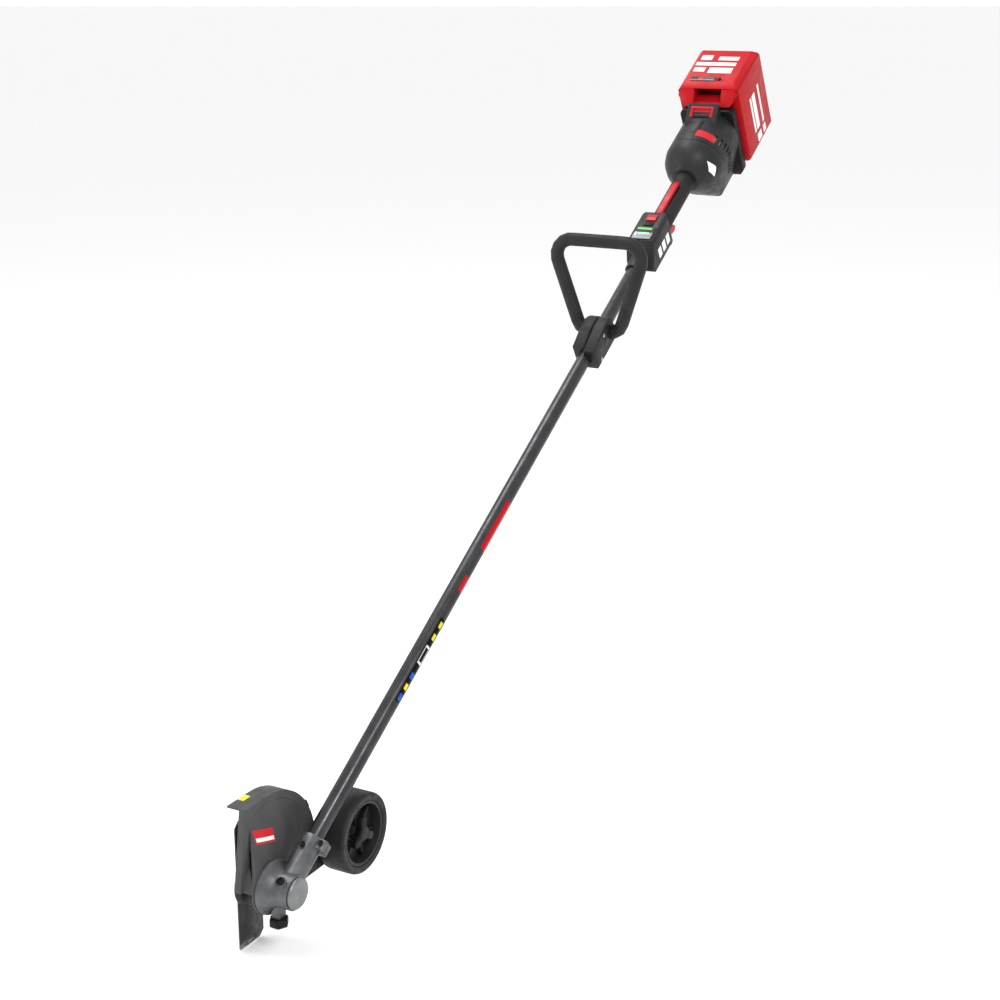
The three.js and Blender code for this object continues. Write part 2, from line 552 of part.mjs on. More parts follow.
function addGuard() {
  const [centreY, centreZ] = GUARD_CENTRE;
  const [legY, legZ] = GUARD_LEG;
  const top = centreZ + GUARD_RADIUS;
  const tip = centreY + GUARD_VISOR;
  const rear = onGuard(GUARD_RADIUS, GUARD_REAR_ANGLE);
  const outline = new THREE.Shape();
  outline.moveTo(tip, top);
  outline.lineTo(centreY, top);
  outline.absarc(centreY, centreZ, GUARD_RADIUS, Math.PI / 2, GUARD_REAR_ANGLE, false);
  [[rear[0], -10], [-122, -24], [-40, -32], [-30, -24], [legY - 14, legZ], [legY, legZ]]
    .forEach((point) => outline.lineTo(...point));
  const wallRight = GUARD_WALL + GUARD_THICK;
  const flangeFace = CASE_RIGHT + FLANGE_THICK + FIT;
  const scoop = (from, to, hub) => {
    const bowl = rod('x', GUARD_DISH_RADIUS, GUARD_WALL, GUARD_WALL + 1, [0, centreY, centreZ], 48)
      .intersect(block([GUARD_WALL - 1, GUARD_WALL + 2], [-200, GUARD_DISH_FRONT], [GUARD_DISH_LOW, 200]));
    return wrapped(moved(bowl, new THREE.Matrix4().makeTranslation(to - GUARD_WALL, 0, 0)),
      rod('x', hub, from, from + 0.5, [0, 0, 0], 32));
  };
  const hubBack = flangeFace + GUARD_THICK;
  const cup = rod('x', GUARD_HUB_RADIUS, flangeFace, wallRight, [0, 0, 0], 32);
  const outer = joined(scoop(flangeFace, GUARD_WALL, GUARD_HUB_RADIUS), cup);
  const inner = joined(scoop(hubBack, wallRight, GUARD_ARCH_RADIUS + 2),
    rod('x', GUARD_ARCH_RADIUS + 2, hubBack, GUARD_DEPTH, [0, 0, 0], 32));
  const rimBand = joined(prism('x', arcBand(GUARD_RADIUS, GUARD_RADIUS - GUARD_THICK, Math.PI / 2,
    GUARD_REAR_ANGLE), GUARD_WALL, GUARD_DEPTH, 0, ARC_STEPS),
  block([GUARD_WALL, GUARD_DEPTH], [centreY - 0.5, tip], [top - GUARD_THICK, top]));
  const wall = prism('x', outline, GUARD_WALL, wallRight, 0, ARC_STEPS);
  const lip = prism('x', [[tip - GUARD_THICK, top - 1], [tip, top - 1], [legY, legZ],
    [legY - GUARD_THICK, legZ]], GUARD_WALL, wallRight + GUARD_LIP);
  let guard = joined(wall, outer.intersect(prism('x', outline, flangeFace, wallRight, 0, ARC_STEPS)),
    rod('x', GUARD_HUB_RADIUS, flangeFace, hubBack, [0, 0, 0], 32), rimBand, lip)
    .subtract(inner)
    .subtract(rod('x', GUARD_HOLE, flangeFace - 1, hubBack + 1, [0, 0, 0], 24));
  ARM_BOLTS.forEach(([y, z]) => {
    guard = guard.add(rod('x', ARM_BOSS_RADIUS, ARM_PLACE + ARM_THICK + FIT, GUARD_WALL + 1,
      [0, y, z], 14));
  });
  ARM_BOLTS.forEach(([y, z]) => {
    guard = guard.subtract(boreAlong('x', SCREW_RADIUS, ARM_PLACE, wallRight + 1, [0, y, z], 12));
  });
  const rivets = [FLAP_LEFT + 6.3, GUARD_DEPTH - 7.3];
  const rivetAngle = (FLAP_TOP_ANGLE + STRIP_LOW_ANGLE) / 2;
  const flapFrom = GUARD_RADIUS + FIT;
  const flapTo = flapFrom + FLAP_THICK;
  let flap = prism('x', arcBand(flapTo, flapFrom, FLAP_TOP_ANGLE, FLAP_LOW_ANGLE), FLAP_LEFT,
    GUARD_DEPTH - 1, 0, ARC_STEPS);
  const stripFrom = flapTo + FIT;
  const stripTo = stripFrom + STRIP_THICK;
  let strip = prism('x', arcBand(stripTo, stripFrom, FLAP_TOP_ANGLE, STRIP_LOW_ANGLE),
    FLAP_LEFT, GUARD_DEPTH - 1);
  rivets.forEach((across) => {
    const hole = radialRod(clear(RIVET_RADIUS), GUARD_RADIUS - 8, stripTo + 4, rivetAngle, across);
    guard = guard.subtract(hole);
    flap = flap.subtract(hole);
    const shank = GUARD_RADIUS - GUARD_THICK - 2;
    strip = strip.add(radialRod(RIVET_RADIUS, shank, stripTo + 0.5, rivetAngle, across))
      .add(radialRod(2 * RIVET_RADIUS, stripTo - 1, stripTo + 1.4, rivetAngle, across));
  });
  guardScrewPlaces().forEach((at, i) => {
    guard = guard.subtract(boreAlong('x', SCREW_RADIUS, flangeFace - 1, hubBack + 1, at, 12));
    add(head, `guard_screw_${i + 1}`, screw('x', CASE_RIGHT + 1, hubBack + FIT, at, 1), steel);
  });
  add(head, 'blade_guard', guard, greyPlastic);
  add(head, 'debris_flap', flap, rubber);
  add(head, 'flap_strip', strip, darkSteel);
}

// Wheel and its arm
function addWheel() {
  const [wheelY, wheelZ] = WHEEL_CENTRE;
  const at = [0, wheelY, wheelZ];
  const armRight = ARM_PLACE + ARM_THICK;
  const slotHalf = AXLE_RADIUS + FIT;
  const outline = [[-73, -14], [-73, -28], [-92, -36], [wheelY - 12, -36], [wheelY - 22, -26],
    [wheelY - 22, SLOT_HIGH + 6], [wheelY - 14, SLOT_HIGH + 15], [wheelY + 14, SLOT_HIGH + 15],
    [wheelY + 32, SLOT_HIGH], [-118, 0]];
  let arm = prism('x', outline, ARM_PLACE, armRight, 1);
  arm = arm.subtract(block([ARM_PLACE - 1, armRight + 1], [wheelY - slotHalf, wheelY + slotHalf],
    [SLOT_LOW, SLOT_HIGH]));
  for (const z of [SLOT_LOW, SLOT_HIGH]) {
    arm = arm.subtract(rod('x', slotHalf, ARM_PLACE - 1, armRight + 1, [0, wheelY, z], 14));
  }
  ARM_BOLTS.forEach(([y, z], i) => {
    arm = arm.subtract(boreAlong('x', SCREW_RADIUS, ARM_PLACE - 1, armRight + 1, [0, y, z], 12));
    const bolt = screw('x', ARM_PLACE - FIT, GUARD_WALL + GUARD_THICK + 2, [0, y, z], -1);
    add(head, `arm_bolt_${i + 1}`, bolt, steel);
  });
  add(head, 'wheel_arm', arm, blackPlastic);

  const spacerLeft = WHEEL_RIGHT + FIT;
  const axle = joined(rod('x', AXLE_RADIUS, KNOB_LEFT + 4, armRight + AXLE_NUT_THICK, at, 14),
    rod('x', AXLE_COLLAR_RADIUS, spacerLeft, ARM_PLACE - FIT, at, 18));
  add(head, 'wheel_axle', axle, steel);
  const nutLeft = armRight + FIT;
  const nutTurn = new THREE.Matrix4().makeTranslation(...at);
  const nut = moved(prism('x', hexagon(AXLE_NUT_RADIUS), nutLeft, nutLeft + AXLE_NUT_THICK), nutTurn)
    .subtract(boreAlong('x', AXLE_RADIUS, ARM_PLACE, nutLeft + AXLE_NUT_THICK + 1, at, 14));
  add(head, 'axle_nut', nut, steel);

  const bossLeft = KNOB_LEFT + KNOB_THICK + 2;
  const rim = WHEEL_RIM_RADIUS;
  const rimInner = rim - WHEEL_RIM_WALL;
  const web = [2, 2 + WHEEL_WEB];
  const bossRight = WHEEL_RIGHT - 0.5;
  const bore = clear(AXLE_RADIUS);
  const hub = turned('x', [[bore, bossLeft], [WHEEL_BOSS_RADIUS, bossLeft], [WHEEL_BOSS_RADIUS, web[0]],
    [rimInner, web[0]], [rimInner, WHEEL_LEFT + 3], [rim, WHEEL_LEFT + 3], [rim, WHEEL_RIGHT - 3],
    [rimInner, WHEEL_RIGHT - 3], [rimInner, web[1]], [WHEEL_BOSS_RADIUS, web[1]],
    [WHEEL_BOSS_RADIUS, bossRight], [bore, bossRight], [bore, bossLeft]], at, 32);
  add(head, 'wheel_hub', hub, darkPlastic);
  const tread = WHEEL_RADIUS;
  const seat = clear(rim);
  const tyre = turned('x', [[seat, WHEEL_LEFT + 2], [tread - 4, WHEEL_LEFT], [tread - 1, WHEEL_LEFT + 2],
    [tread, WHEEL_LEFT + 6], [tread, WHEEL_RIGHT - 6], [tread - 1, WHEEL_RIGHT - 2],
    [tread - 4, WHEEL_RIGHT], [seat, WHEEL_RIGHT - 2], [seat, WHEEL_LEFT + 2]], at, 40);
  add(head, 'wheel_tyre', tyre, rubber);

  let knob = rod('x', AXLE_COLLAR_RADIUS + 1, KNOB_LEFT, KNOB_LEFT + KNOB_THICK, [0, 0, 0], 18);
  for (let i = 0; i < 3; i += 1) {
    const lobe = prism('x', roundedRectangle([0, KNOB_RADIUS], [-7, 7], 6.5), KNOB_LEFT,
      KNOB_LEFT + KNOB_THICK - 1, 1.5);
    const turn = new THREE.Matrix4().makeRotationX(Math.PI / 2 + i * 2 * Math.PI / 3);
    knob = knob.add(moved(lobe, turn));
  }
  knob = moved(knob, nutTurn).subtract(boreAlong('x', AXLE_RADIUS, KNOB_LEFT + 3, 0, at, 14));
  add(head, 'wheel_knob', knob, blackPlastic);
}

// Loop handle: the tube's centre line, in its own plane.
class LoopLine extends THREE.Curve {
  constructor(corners, bends) {
    super();
    this.path = new THREE.Path();
    const points = corners.map(([x, y]) => new THREE.Vector2(x, y));
    this.path.moveTo(points[0].x, points[0].y);
    for (let i = 1; i < points.length - 1; i += 1) {
      const before = points[i].clone().sub(points[i - 1]).normalize();
      const after = points[i + 1].clone().sub(points[i]).normalize();
      const turn = Math.acos(before.dot(after));
      const trim = bends[i - 1] * Math.tan(turn / 2);
      const start = points[i].clone().addScaledVector(before, -trim);
      const side = Math.sign(before.cross(after));
      const inward = new THREE.Vector2(-before.y, before.x).multiplyScalar(side * bends[i - 1]);
      const centre = start.clone().add(inward);
      const from = start.clone().sub(centre).angle();
      this.path.lineTo(start.x, start.y);
      this.path.absarc(centre.x, centre.y, bends[i - 1], from, from + side * turn, side < 0);
    }
    const last = points[points.length - 1];
    this.path.lineTo(last.x, last.y);
  }

  getPoint(t, target = new THREE.Vector3()) {
    const point = this.path.getPoint(t);
    return target.set(point.x, point.y, 0);
  }
}

function addLoopHandle() {
  const line = new LoopLine([[LOOP_WALL_END, 0], [LOOP_LOW_HALF, 0], [LOOP_TOP_HALF, LOOP_HEIGHT],
    [-LOOP_TOP_HALF, LOOP_HEIGHT], [-LOOP_LOW_HALF, 0], [-LOOP_WALL_END, 0]],
  [LOOP_LOW_BEND, LOOP_TOP_BEND, LOOP_TOP_BEND, LOOP_LOW_BEND]);
  const section = new THREE.Shape();
  section.absarc(0, 0, LOOP_RADIUS, 0, 2 * Math.PI);
  const geometry = new THREE.ExtrudeGeometry(section, { steps: 44, curveSegments: 6, extrudePath: line });
  const tilt = new THREE.Matrix4().makeTranslation(0, 0, LOOP_PLACE)
    .multiply(new THREE.Matrix4().makeRotationX(LOOP_TILT));
  const loop = moved(toSolid(geometry), tilt);
  add(shaft, 'loop_handle', loop, darkPlastic);

  const clampOutline = (frontEdge) => [[-CLAMP_LOW, frontEdge], [CLAMP_NOSE, frontEdge],
    [CLAMP_TOP, LOOP_PLACE - 20], [CLAMP_TOP, LOOP_PLACE + 4],
    [CLAMP_LOW, CLAMP_REAR], [-CLAMP_LOW, CLAMP_REAR]];
  const left = prism('x', clampOutline(CLAMP_FRONT - CLAMP_TAIL), -CLAMP_HALF, -CLAMP_GAP, 2);
  const right = prism('x', clampOutline(CLAMP_FRONT), CLAMP_GAP, CLAMP_HALF, 2);
  const socket = clear(LOOP_RADIUS);
  const cuts = [boreAlong('z', TUBE_RADIUS, CLAMP_FRONT - 40, CLAMP_REAR + 1),
    rod('x', socket, LOOP_WALL_END - FIT, CLAMP_HALF + 20, [0, 0, LOOP_PLACE]),
    rod('x', socket, -CLAMP_HALF - 20, -LOOP_WALL_END + FIT, [0, 0, LOOP_PLACE]),
    moved(block([LOOP_WALL_END + 4, CLAMP_HALF + 20], [0, 60], [-socket, socket]), tilt),
    moved(block([-CLAMP_HALF - 20, -LOOP_WALL_END - 4], [0, 60], [-socket, socket]), tilt)];
  CLAMP_SCREWS.forEach((place, i) => {
    const side = i === 0 ? -1 : 1;
    const at = [0, side * (CLAMP_SCREW_HEIGHT - 1), place];
    cuts.push(boreAlong('x', SCREW_RADIUS, -CLAMP_HALF - 1, CLAMP_HALF + 1, at, 12));
    cuts.push(rod('x', SCREW_HEAD_RADIUS + 1, -CLAMP_HALF - 1, -CLAMP_HALF + SCREW_HEAD + 2 * FIT, at, 14));
    const clampScrew = screw('x', -CLAMP_HALF + SCREW_HEAD + FIT, CLAMP_HALF - 1, at, -1);
    add(shaft, `clamp_screw_${i + 1}`, clampScrew, steel);
  });
  const cutAway = (half) => cuts.reduce((body, cut) => body.subtract(cut), half);
  add(shaft, 'handle_clamp_left', cutAway(left), darkPlastic);
  add(shaft, 'handle_clamp_right', cutAway(right), darkPlastic);
}

// Control housing, buttons, trigger and grip
function button(spec) {
  return prism('z', roundedRectangle([-spec.half, spec.half], [BOX_TOP - BOX_WALL - 1, spec.top], 1),
    spec.front, spec.rear);
}

const buttonHole = (spec) => block([-spec.half - FIT, spec.half + FIT],
  [BOX_TOP - BOX_WALL - 3, BOX_TOP + 1], [spec.front - FIT, spec.rear + FIT]);

// The control box with its side, plan and end outlines all rounded, less a wall's thickness.
function boxBody(outline, wall) {
  const half = BOX_HALF - wall;
  const plan = prism('z', roundedRectangle([-half, half], [BOX_FRONT + wall, BOX_REAR - wall],
    BOX_CORNER - wall), BOX_BOTTOM - 1, BOX_TOP + 1, 0, 4);
  const swap = new THREE.Matrix4().set(1, 0, 0, 0, 0, 0, 1, 0, 0, 1, 0, 0, 0, 0, 0, 1);
  const end = prism('z', roundedRectangle([-half, half], [BOX_BOTTOM + wall, BOX_TOP - wall],
    BOX_EDGE - wall), BOX_FRONT - 1, BOX_REAR + 1, 0, 3);
  return prism('x', wall > 0 ? inset(outline, wall) : outline, -half, half)
    .intersect(moved(plan, swap)).intersect(end);
}

function addControls() {
  const outline = [[BOX_BOTTOM, BOX_CHIN_REAR], BOX_CHIN, [BOX_TOP, BOX_TOP_FRONT],
    [BOX_TOP, BOX_TOP_REAR], [GRIP_RADIUS + 1, BOX_REAR], [BOX_BOTTOM, BOX_REAR - 8]];
  const [pivotH, pivotT] = TRIGGER_PIVOT;
  const cuts = [boreAlong('z', TUBE_RADIUS, COLLAR_FRONT - 1, BOX_REAR + 1),
    buttonHole(MODE_BUTTON), buttonHole(POWER_BUTTON),
    block([-TRIGGER_HALF - 2 * FIT, TRIGGER_HALF + 2 * FIT], [BOX_BOTTOM - 4, -17.5],
      [pivotT - 8, BOX_REAR + 1]),
    boreAlong('x', TRIGGER_PIN_RADIUS, -BOX_HALF + BOX_WALL, BOX_HALF - BOX_WALL, [0, pivotH, pivotT], 12)];
  for (const [name, side] of [['left', -1], ['right', 1]]) {
    const span = (inner, outer) => (side < 0 ? [-outer, -inner] : [inner, outer]);
    let half = boxBody(outline, 0)
      .intersect(block(span(SPLIT, BOX_HALF + 1), [BOX_BOTTOM - 1, BOX_TOP + 1],
        [BOX_FRONT - 1, BOX_REAR + 1]))
      .subtract(boxBody(outline, BOX_WALL));
    const collar = ring('z', COLLAR_RADIUS, TUBE_RADIUS, COLLAR_FRONT, BOX_TOP_FRONT)
      .intersect(block(span(SPLIT, BOX_HALF), [-30, 30], [COLLAR_FRONT - 1, BOX_TOP_FRONT + 1]));
    const boss = rod('x', 5, ...span(TRIGGER_HALF + 8, BOX_HALF - 1), [0, pivotH, pivotT], 14);
    half = cuts.reduce((body, cut) => body.subtract(cut), joined(half, collar, boss));
    add(shaft, `control_housing_${name}`, half, darkPlastic);
  }
  add(shaft, 'display_panel', prism('z', roundedRectangle([-DISPLAY_HALF, DISPLAY_HALF],
    [BOX_TOP + FIT, BOX_TOP + 2], 0.6), ...DISPLAY), glass);
  add(shaft, 'mode_button', button(MODE_BUTTON), blackPlastic);
  add(shaft, 'power_button', button(POWER_BUTTON), redPlastic);

  const triggerOutline = [[-20, -5], [-20, 9], [-25, 18], [-29, 46], [-31, 62], [-40, 70], [-47, 62],
    [-42, 40], [-32, 18], [-27, -5]].map(([h, back]) => [h, pivotT + back]);
  const trigger = prism('x', triggerOutline, -TRIGGER_HALF, TRIGGER_HALF, 0.8)
    .subtract(boreAlong('x', TRIGGER_PIN_RADIUS, -10, 10, [0, pivotH, pivotT], 12));
  add(shaft, 'trigger', trigger, redPlastic);
  const pinHalf = BOX_HALF - BOX_WALL - FIT;
  const pin = rod('x', TRIGGER_PIN_RADIUS, -pinHalf, pinHalf, [0, pivotH, pivotT], 12);
  add(shaft, 'trigger_pin', pin, steel);

  const [leverH, leverT] = LEVER_PIVOT;
  const gripFront = BOX_REAR + FIT;
  const slotFloor = TUBE_RADIUS + 1.2;
  for (const [name, side] of [['left', -1], ['right', 1]]) {
    const span = (inner, outer) => (side < 0 ? [-outer, -inner] : [inner, outer]);
    const lug = block(span(LEVER_HALF + 0.8, LEVER_HALF + 4), [TUBE_RADIUS, leverH + 2.5],
      [leverT - 4, leverT + 4]);
    let half = joined(ring('z', GRIP_RADIUS, TUBE_RADIUS, gripFront, GRIP_REAR), lug)
      .intersect(block(span(SPLIT, 40), [-40, 40], [gripFront - 1, GRIP_REAR + 1]));
    half = half.subtract(boreAlong('z', TUBE_RADIUS, gripFront - 1, GRIP_REAR + 1));
    half = half.subtract(block([-LEVER_HALF - 0.7, LEVER_HALF + 0.7], [slotFloor, 30],
      [LEVER_FRONT - 1, leverT + 8]));
    half = half.subtract(boreAlong('x', LEVER_STUB_RADIUS, -20, 20, [0, leverH, leverT], 12));
    add(shaft, `grip_${name}`, half, rubber);
  }
  const leverLow = TUBE_RADIUS + 2.2;
  const leverOutline = [[leverLow + 0.2, leverT + 6], [LEVER_TOP - 2, leverT + 5], [LEVER_TOP, leverT - 8],
    [LEVER_TOP, LEVER_FRONT + 8], [LEVER_TOP - 4, LEVER_FRONT], [leverH, LEVER_FRONT + 1],
    [leverH, leverT - 8], [leverLow, leverT - 4]];
  const stubEnd = LEVER_HALF + 3.8;
  const lever = prism('x', leverOutline, -LEVER_HALF, LEVER_HALF, 0.8)
    .add(rod('x', LEVER_STUB_RADIUS, -stubEnd, stubEnd, [0, leverH, leverT], 12));
  add(shaft, 'lockout_lever', lever, redPlastic);
}

// Motor housing
// The drum and the belly under it, a wall's thickness in from the outside.
function motorBody(wall) {
  const [bellyX, bellyH] = BELLY_CORNER;
  const nose = GRIP_REAR + FIT;
  const slice = (radius, from, to) => rod('z', radius - wall, from, to, [0, 0, 0], 36);
  const corner = (x) => rod('z', BELLY_RADIUS - wall, BELLY_FRONT + wall, DRUM_REAR - wall,
    [x, bellyH, 0], 16);
  return wrapped(slice(NOSE_RADIUS, nose + wall, nose + wall + 1),
    slice(0.76 * DRUM_RADIUS, nose + 16, nose + 17),
    slice(0.93 * DRUM_RADIUS, nose + 33, nose + 34), slice(DRUM_RADIUS, nose + 50, DRUM_REAR - wall),
    corner(bellyX), corner(-bellyX));
}

// Places on the ramp: along it from its front end, and square out from it.
function onRamp(along, out) {
  const [rise, run] = [RAMP_REAR[0] - RAMP_FRONT[0], RAMP_REAR[1] - RAMP_FRONT[1]];
  const length = Math.hypot(rise, run);
  return [RAMP_FRONT[0] + (along * rise + out * run) / length,
    RAMP_FRONT[1] + (along * run - out * rise) / length];
}

const rampBlock = (half, front, rear, low, high) => prism('x',
  [onRamp(front, low), onRamp(rear, low), onRamp(rear, high), onRamp(front, high)], -half, half);

function addMotor() {
  const gripEnd = GRIP_REAR + FIT;
  const tilt = Math.hypot(1, SEAM_SLOPE);
  const neck = ring('z', TUBE_RADIUS + NECK_WALL, TUBE_RADIUS, gripEnd + 1, NECK_REAR, [0, 0, 0], 32);
  const shell = motorBody(0).subtract(motorBody(DRUM_WALL));
  const cover = shell.trimByPlane([0, -SEAM_SLOPE / tilt, -1 / tilt], -(DRUM_SEAM - FIT) / tilt)
    .add(neck)
    .subtract(boreAlong('z', TUBE_RADIUS, gripEnd - 1, NECK_REAR + 1));
  add(shaft, 'motor_front_cover', cover, darkPlastic);

  const wallFront = DRUM_REAR - DRUM_WALL;
  const bearingFront = wallFront - BEARING_WIDTH;
  const ramp = prism('x', [[RAMP_FRONT[0] - 20, RAMP_FRONT[1] - 8], [RAMP_FRONT[0] - 4, RAMP_FRONT[1] - 4],
    RAMP_FRONT, RAMP_REAR, [RAMP_FRONT[0] - 20, DRUM_REAR]], -RAMP_HALF, RAMP_HALF);
  let housing = joined(shell.trimByPlane([0, SEAM_SLOPE / tilt, 1 / tilt], DRUM_SEAM / tilt),
    ramp.subtract(motorBody(DRUM_WALL)),
    ring('z', SPINDLE_BEARING_RADIUS + NECK_WALL, clear(SPINDLE_BEARING_RADIUS), bearingFront,
      wallFront + 1))
    .subtract(rampBlock(LATCH.half + FIT, LATCH.front - FIT, LATCH.rear + FIT, LATCH.pocket,
      2 * DRUM_WALL));
  for (let i = 0; i < VENTS.count; i += 1) {
    const height = VENTS.top - i * VENTS.pitch;
    const front = VENTS.place - height / 4;
    housing = housing.subtract(block([-80, 80], [height, height + VENTS.height],
      [front, front + VENTS.length]));
  }
  add(shaft, 'motor_housing', housing, darkPlastic);
  const bearing = (radius, from) => ring('z', radius, clear(DRIVE_RADIUS), from,
    from + BEARING_WIDTH - FIT, [0, 0, 0], 18);
  add(shaft, 'motor_bearing_front', bearing(TUBE_RADIUS, TUBE_REAR + 1), steel);
  add(shaft, 'motor_bearing_rear', bearing(SPINDLE_BEARING_RADIUS, bearingFront), steel);

  let stator = ring('z', DRUM_RADIUS - DRUM_WALL - FIT, STATOR_INNER, STATOR_FRONT,
    STATOR_FRONT + STATOR_LENGTH,
    [0, 0, 0], 32);
  for (let i = 0; i < 9; i += 1) {
    const slot = block([STATOR_INNER + 4, DRUM_RADIUS - 12], [-4, 4], [STATOR_FRONT - 1,
      STATOR_FRONT + STATOR_LENGTH + 1]);
    stator = stator.subtract(moved(slot, new THREE.Matrix4().makeRotationZ((i + 0.5) * 2 * Math.PI / 9)));
  }
  add(shaft, 'stator', stator, copper);
  const boardLow = BELLY_CORNER[1] + 4;
  add(shaft, 'controller_board', joined(block([-BOARD_HALF, BOARD_HALF], [boardLow, boardLow + 2],
    [BELLY_FRONT + 6, DRUM_REAR - 8]),
    block([-18, 18], [boardLow + 1, boardLow + 10], [BELLY_FRONT + 12, BELLY_FRONT + 30]),
    block([-14, 10], [boardLow + 1, boardLow + 8], [BELLY_FRONT + 36, BELLY_FRONT + 52])), board);
  const latch = rampBlock(LATCH.half, LATCH.front, LATCH.rear, LATCH.low, LATCH.high)
    .subtract(rampBlock(LATCH.half - LATCH.window, LATCH.front + LATCH.window, LATCH.rear - LATCH.window,
      LATCH.low + 1.5, LATCH.high + 1));
  add(shaft, 'battery_latch', latch, redPlastic);
}

// Dock and battery
function addDock() {
  let dock = prism('z', roundedRectangle([-DOCK_HALF, DOCK_HALF], [DOCK_BOTTOM, DOCK_TOP], 10),
    DOCK_FRONT, DOCK_REAR);
  for (const side of [-1, 1]) {
    const span = (inner, outer) => (side < 0 ? [-outer, -inner] : [inner, outer]);
    dock = joined(dock, block(span(RAIL_INNER, RAIL_INNER + 6), [RAIL_LOW, RAIL_HIGH],
      [DOCK_REAR - 1, RAIL_REAR]),
      block(span(RAIL_INNER + 5, RAIL_OUTER), [RAIL_LOW, RAIL_HIGH], [RAIL_REAR - 7, RAIL_REAR]));
  }
  dock = dock.add(block([-14, 14], [-40, 20], [DOCK_REAR - 1, DOCK_REAR + 8]));
  for (const x of [-9, -3, 3, 9]) {
    dock = dock.add(block([x - 0.8, x + 0.8], [-30, 10], [DOCK_REAR + 7, DOCK_REAR + 20]));
  }
  add(shaft, 'battery_dock', dock, blackPlastic);
  const foot = DOCK_BOTTOM - FIT;
  add(shaft, 'support_foot', prism('z', roundedRectangle([-DOCK_HALF + 8, DOCK_HALF - 8],
    [foot - FOOT_THICK, foot],
    2.5), DOCK_FRONT + 4, DOCK_REAR - 4), rubber);
}

function addBattery() {
  const outline = [[BATTERY_BOTTOM + 8, BATTERY_FRONT], [CHIN_HIGH[0], BATTERY_FRONT],
    [BATTERY_TOP, BATTERY_FRONT + 12], [BATTERY_TOP, BATTERY_REAR - 8], [BATTERY_TOP - 8, BATTERY_REAR],
    [BATTERY_BOTTOM + BATTERY_CORNER, BATTERY_REAR], [BATTERY_BOTTOM, BATTERY_REAR - BATTERY_CORNER],
    [BATTERY_BOTTOM, BATTERY_FRONT + 8]];
  const [buttonX, buttonT] = GAUGE_BUTTON.place;
  const [wide, corner] = [BATTERY_HALF, BATTERY_CORNER];
  const end = [[-wide + corner, BATTERY_TOP], [-wide, BATTERY_TOP - corner],
    [-wide, BATTERY_BOTTOM + corner],
    [-wide + corner, BATTERY_BOTTOM], [wide - corner, BATTERY_BOTTOM], [wide, BATTERY_BOTTOM + corner],
    [wide, BATTERY_TOP - corner], [wide - corner, BATTERY_TOP]];
  const edge = (half, [h, t], depth) => block([-half, half], [h, h + 1], [t, t + depth]);
  const chin = wrapped(edge(CHIN_HALF, CHIN_LOW, BATTERY_FRONT + 2 - CHIN_LOW[1]),
    edge(wide - 2, [CHIN_HIGH[0] - corner, CHIN_HIGH[1] - corner], 14), edge(wide - corner, CHIN_HIGH, 8));
  const battery = prism('x', outline, -wide, wide)
    .intersect(prism('z', end, BATTERY_FRONT - 1, BATTERY_REAR + 1))
    .add(chin)
    .subtract(block([-RAIL_OUTER - 4, RAIL_OUTER + 4], [BATTERY_BOTTOM - 1, RAIL_HIGH + 6],
      [BATTERY_FRONT - 1, RAIL_REAR + 3]))
    .subtract(block([-RECESS_HALF, RECESS_HALF], [RECESS_LOW, RECESS_HIGH],
      [CHIN_LOW[1] - 1, BATTERY_FRONT + RECESS_DEPTH]))
    .subtract(boreAlong('y', GAUGE_BUTTON.radius, BATTERY_TOP - 5, BATTERY_TOP + 1,
      [buttonX, 0, buttonT], 12));
  add(shaft, 'battery_case', battery, redPlastic);
  add(shaft, 'charge_indicator', prism('z', roundedRectangle([GAUGE.left, GAUGE.right],
    [BATTERY_TOP + FIT, BATTERY_TOP + 1.6], 0.5), GAUGE.front, GAUGE.rear), blackPlastic);
  add(shaft, 'charge_button', rod('y', GAUGE_BUTTON.radius, BATTERY_TOP - 3, BATTERY_TOP + 2,
    [buttonX, 0, buttonT], 12), blackPlastic);
}

addShaft();
addDriveLine();
addGearCase();
addBlade();
addGuard();
addWheel();
addLoopHandle();
addControls();
addMotor();
addDock();
addBattery();

// The origin is the middle of the rear grip, on the shaft's axis.
machine.position.set(0, GRIP_PLACE * Math.cos(SHAFT_ANGLE), -GRIP_PLACE * Math.sin(SHAFT_ANGLE));

export default machine;
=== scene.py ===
import json
import math

import bmesh
import bpy
from mathutils import Matrix, Vector


